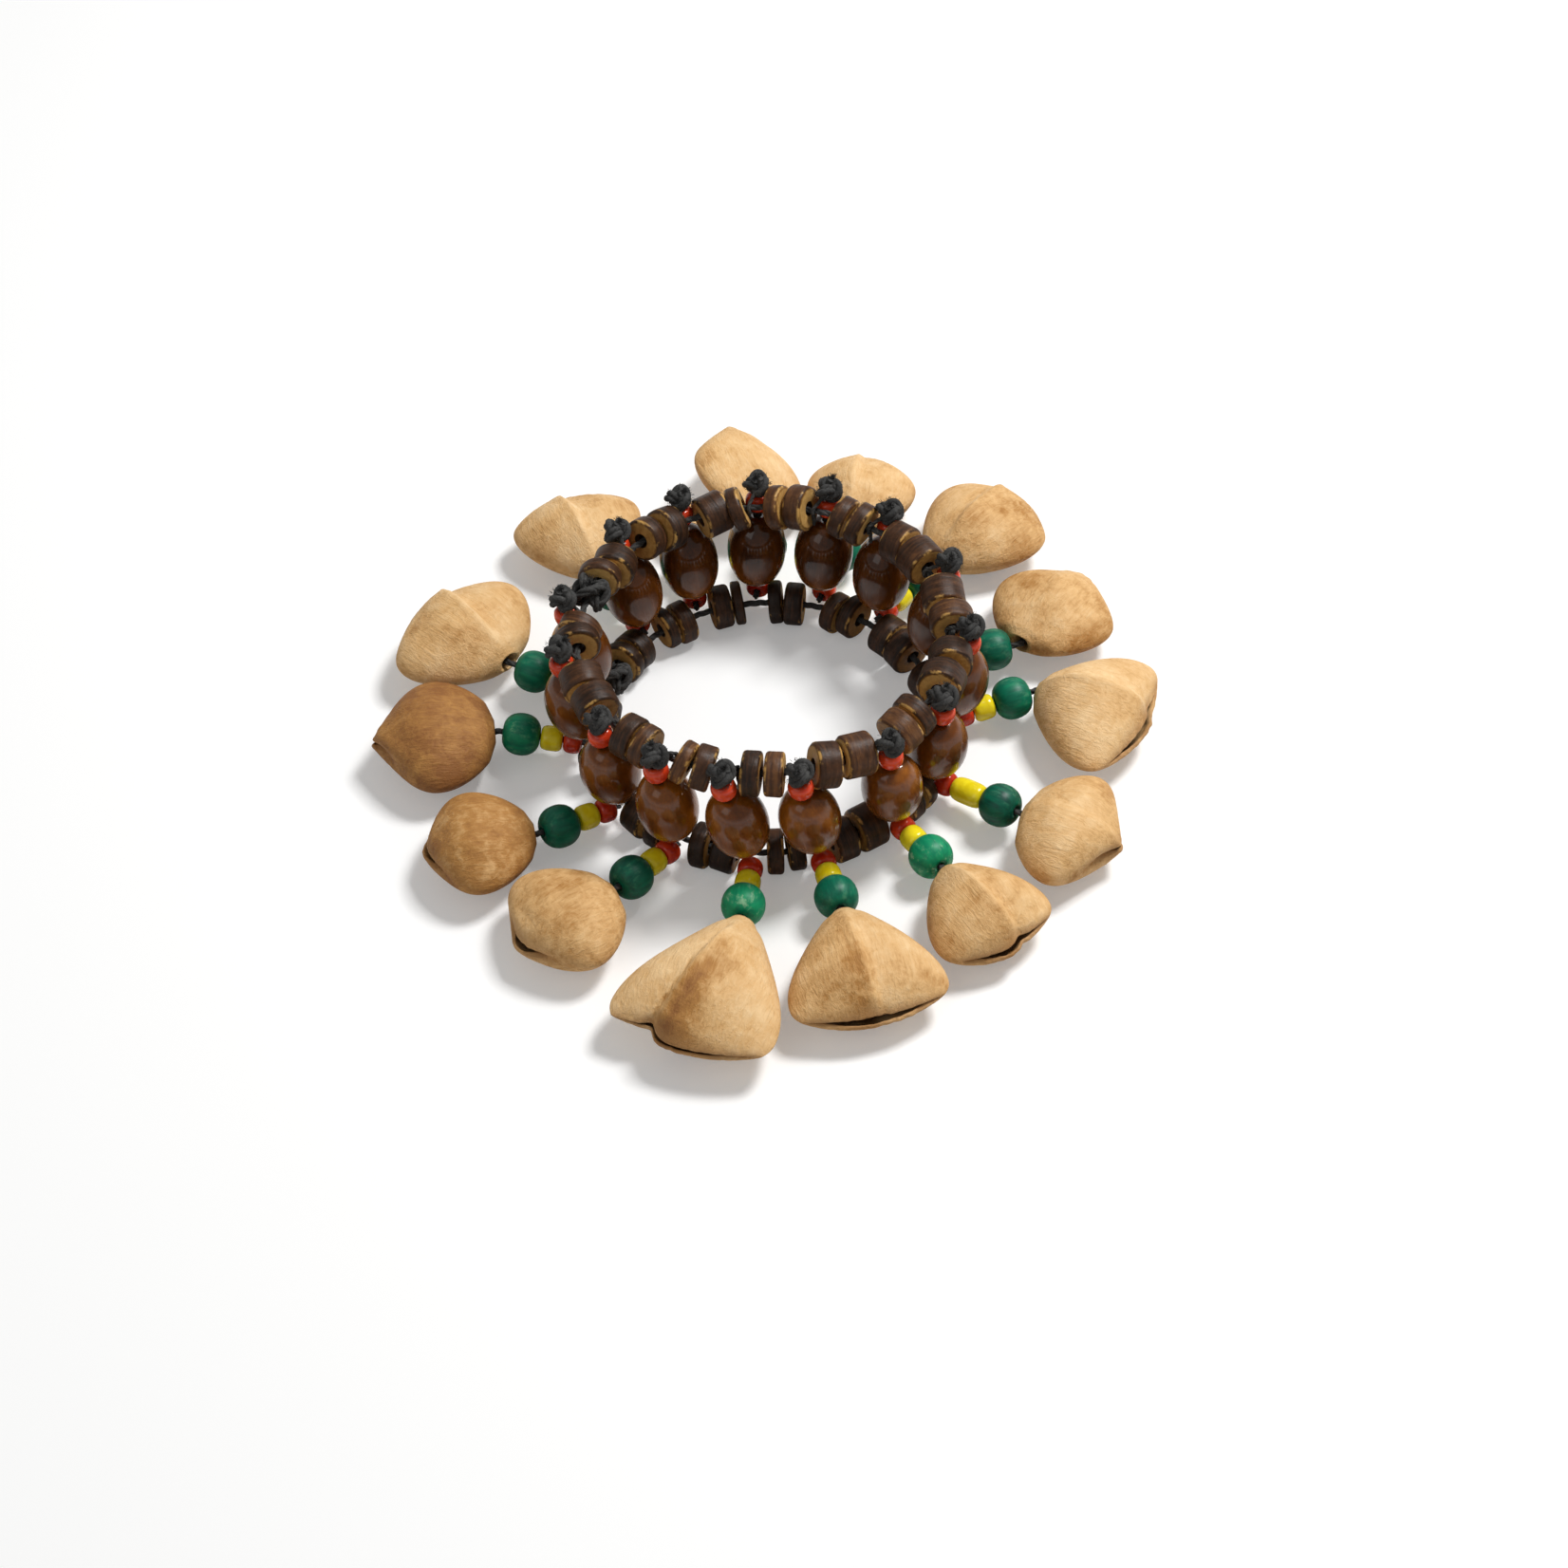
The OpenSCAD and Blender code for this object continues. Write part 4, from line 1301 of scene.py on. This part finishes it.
# %% [markdown]
# ## Upright cords
# Every oval hangs on a doubled cord. One ply of the pair goes up through the red bead. The other is
# thinner and stands beside it, round the inside of the elastic. Both end in a knot on top, trimmed short
# and frayed. A lump of noise would be quicker, but close up a knot has to show its turns, so each is a
# tight trefoil with a stub and fuzz. It lies a little under the end of the frame's own cord.

# %% Lines of the upright cords
CORD_RADIUS = 0.6
LEAST_HEIGHT = 15
TAIL_CORNERS = 8
KNOT_UNDER_TAIL = 4.4
FOOT_REACH = 0.6
THIN_PLY = 0.65
LOOP_BESIDE, LOOP_INSIDE = 1.7, 2.6
LOOP_TURNS = (4.3, 3.6, 2.9, 2.1)
long_plies = [corners for corners in solids("upright_cords") if np.ptp(corners[:, 2]) > LEAST_HEIGHT]
tails = [Vector(corners[np.argsort(corners[:, 2])[-TAIL_CORNERS:]].mean(0)) for corners in long_plies]


def upright_lines(centre, half, oval):
    """The knot of an upright cord, the way up to it, and the lines of the two plies."""
    oval_centre, along, oval_half = oval
    foot = oval_centre - along * (oval_half + FOOT_REACH)
    red_end = centre + along * half
    tail = min(tails, key=lambda end: (end - red_end).length)
    upward = (tail - red_end).normalized()
    knot = tail - upward * KNOT_UNDER_TAIL
    radial = outward(centre)
    beside = Vector((-radial.y, radial.x, 0)) * LOOP_BESIDE
    hub = radial * upper_circle + Vector((0, 0, upper_height)) + beside
    clear = ELASTIC_RADIUS + CORD_RADIUS * THIN_PLY
    loop = [hub + clear * (math.cos(a) * radial + Vector((0, 0, math.sin(a)))) for a in LOOP_TURNS]
    start = oval_centre + along * (oval_half + CORD_RADIUS) - radial * LOOP_INSIDE + beside
    main = smooth_path([foot, oval_centre, red_end, knot])
    second = smooth_path([start] + loop + [knot - radial])
    return knot, upward, main, second


print("upright cords:", len(tails), "tails found")

# %% Upright cords
KNOT_WIDTH = 4.2
KNOT_PLY, STUB_PLY = 1.15, 1.2
LEAN_RIGHT = Vector((0.55, 0, 0))
LEAN_SPREAD = 0.25
STUB_ENDS = {"length": 1.2, "spread": 0.6, "count": 40, "radius": 0.08}
FUZZ = {"length": 0.7, "spread": 0.6, "count": 1, "radius": 0.05}
FUZZ_COUNT, FUZZ_OUT = 90, 0.55
upright = []
for centre, half, oval in top_lines:
    knot, upward, main, second = upright_lines(centre, half, oval)
    upright += [open_cord(main, CORD_RADIUS), open_cord(second, CORD_RADIUS * THIN_PLY)]
    turn = cord_dice.uniform(0, ANY_TURN)
    upright.append(closed_cord(knot_path(knot, upward, KNOT_WIDTH * 0.8, turn), KNOT_PLY))
    back_share = max(0, outward(centre).y)
    lean = (upward + LEAN_RIGHT * back_share + scatter(cord_dice, LEAN_SPREAD)).normalized()
    stub = smooth_path([knot, knot + lean * KNOT_WIDTH * 0.3, knot + lean * KNOT_WIDTH * 0.5])
    upright.append(open_cord(stub, STUB_PLY))
    upright.append(tubes(frayed(stub[-1], lean, dice=cord_dice, **STUB_ENDS), sides=0))
    fuzz = []
    for _ in range(FUZZ_COUNT):
        out = scatter(cord_dice).normalized()
        fuzz += frayed(knot + out * KNOT_WIDTH * FUZZ_OUT, out, dice=cord_dice, **FUZZ)
    upright.append(tubes(fuzz, sides=0))
piece("upright_cords_tied", joined(upright), "ring", "upright_cords", "black_cord")
print("upright cords:", len(top_lines), "with knots of", KNOT_WIDTH, "mm")

# %% [markdown]
# ## Strand cords
# A strand's cord runs along its beads, turns into the pod's hole and ends in a knot inside. A straight
# line from hinge to pod would miss the bores, so the cord bends where the line of the beads comes nearest
# to the line of the pod. The knot in the slim pod is smaller.

# %% Strand cords
INNER_KNOT, KNOT_SHARE = 3.2, 0.7
STRAIGHT = 2
PARALLEL_GUARD = 1e-9
for strand in STRANDS:
    hinge, along = strand_lines[strand]
    pod = pods[strand]
    inward = pod.axes.col[0]
    slant = along.dot(inward)
    reach = pod.hole - hinge
    run = (reach.dot(along) - slant * reach.dot(inward)) / (1 - slant * slant + PARALLEL_GUARD)
    bend = hinge + along * run
    knot = pod.hole + inward * (NECK / 2 + INNER_KNOT / 2)
    path = smooth_path([hinge, hinge + along * STRAIGHT, bend - along, bend + inward, knot])
    small = pod.look.slim ** 3
    knotted = knot_path(knot, inward, INNER_KNOT * KNOT_SHARE * small, 0)
    cord = joined([open_cord(path, CORD_RADIUS), closed_cord(knotted, CORD_RADIUS * small)])
    node = f"strand_cord_{strand:02d}"
    piece(f"strand_cord_laid_{strand:02d}", cord, f"strand_{strand:02d}", node, "black_cord")
print("strand cords:", len(STRANDS))
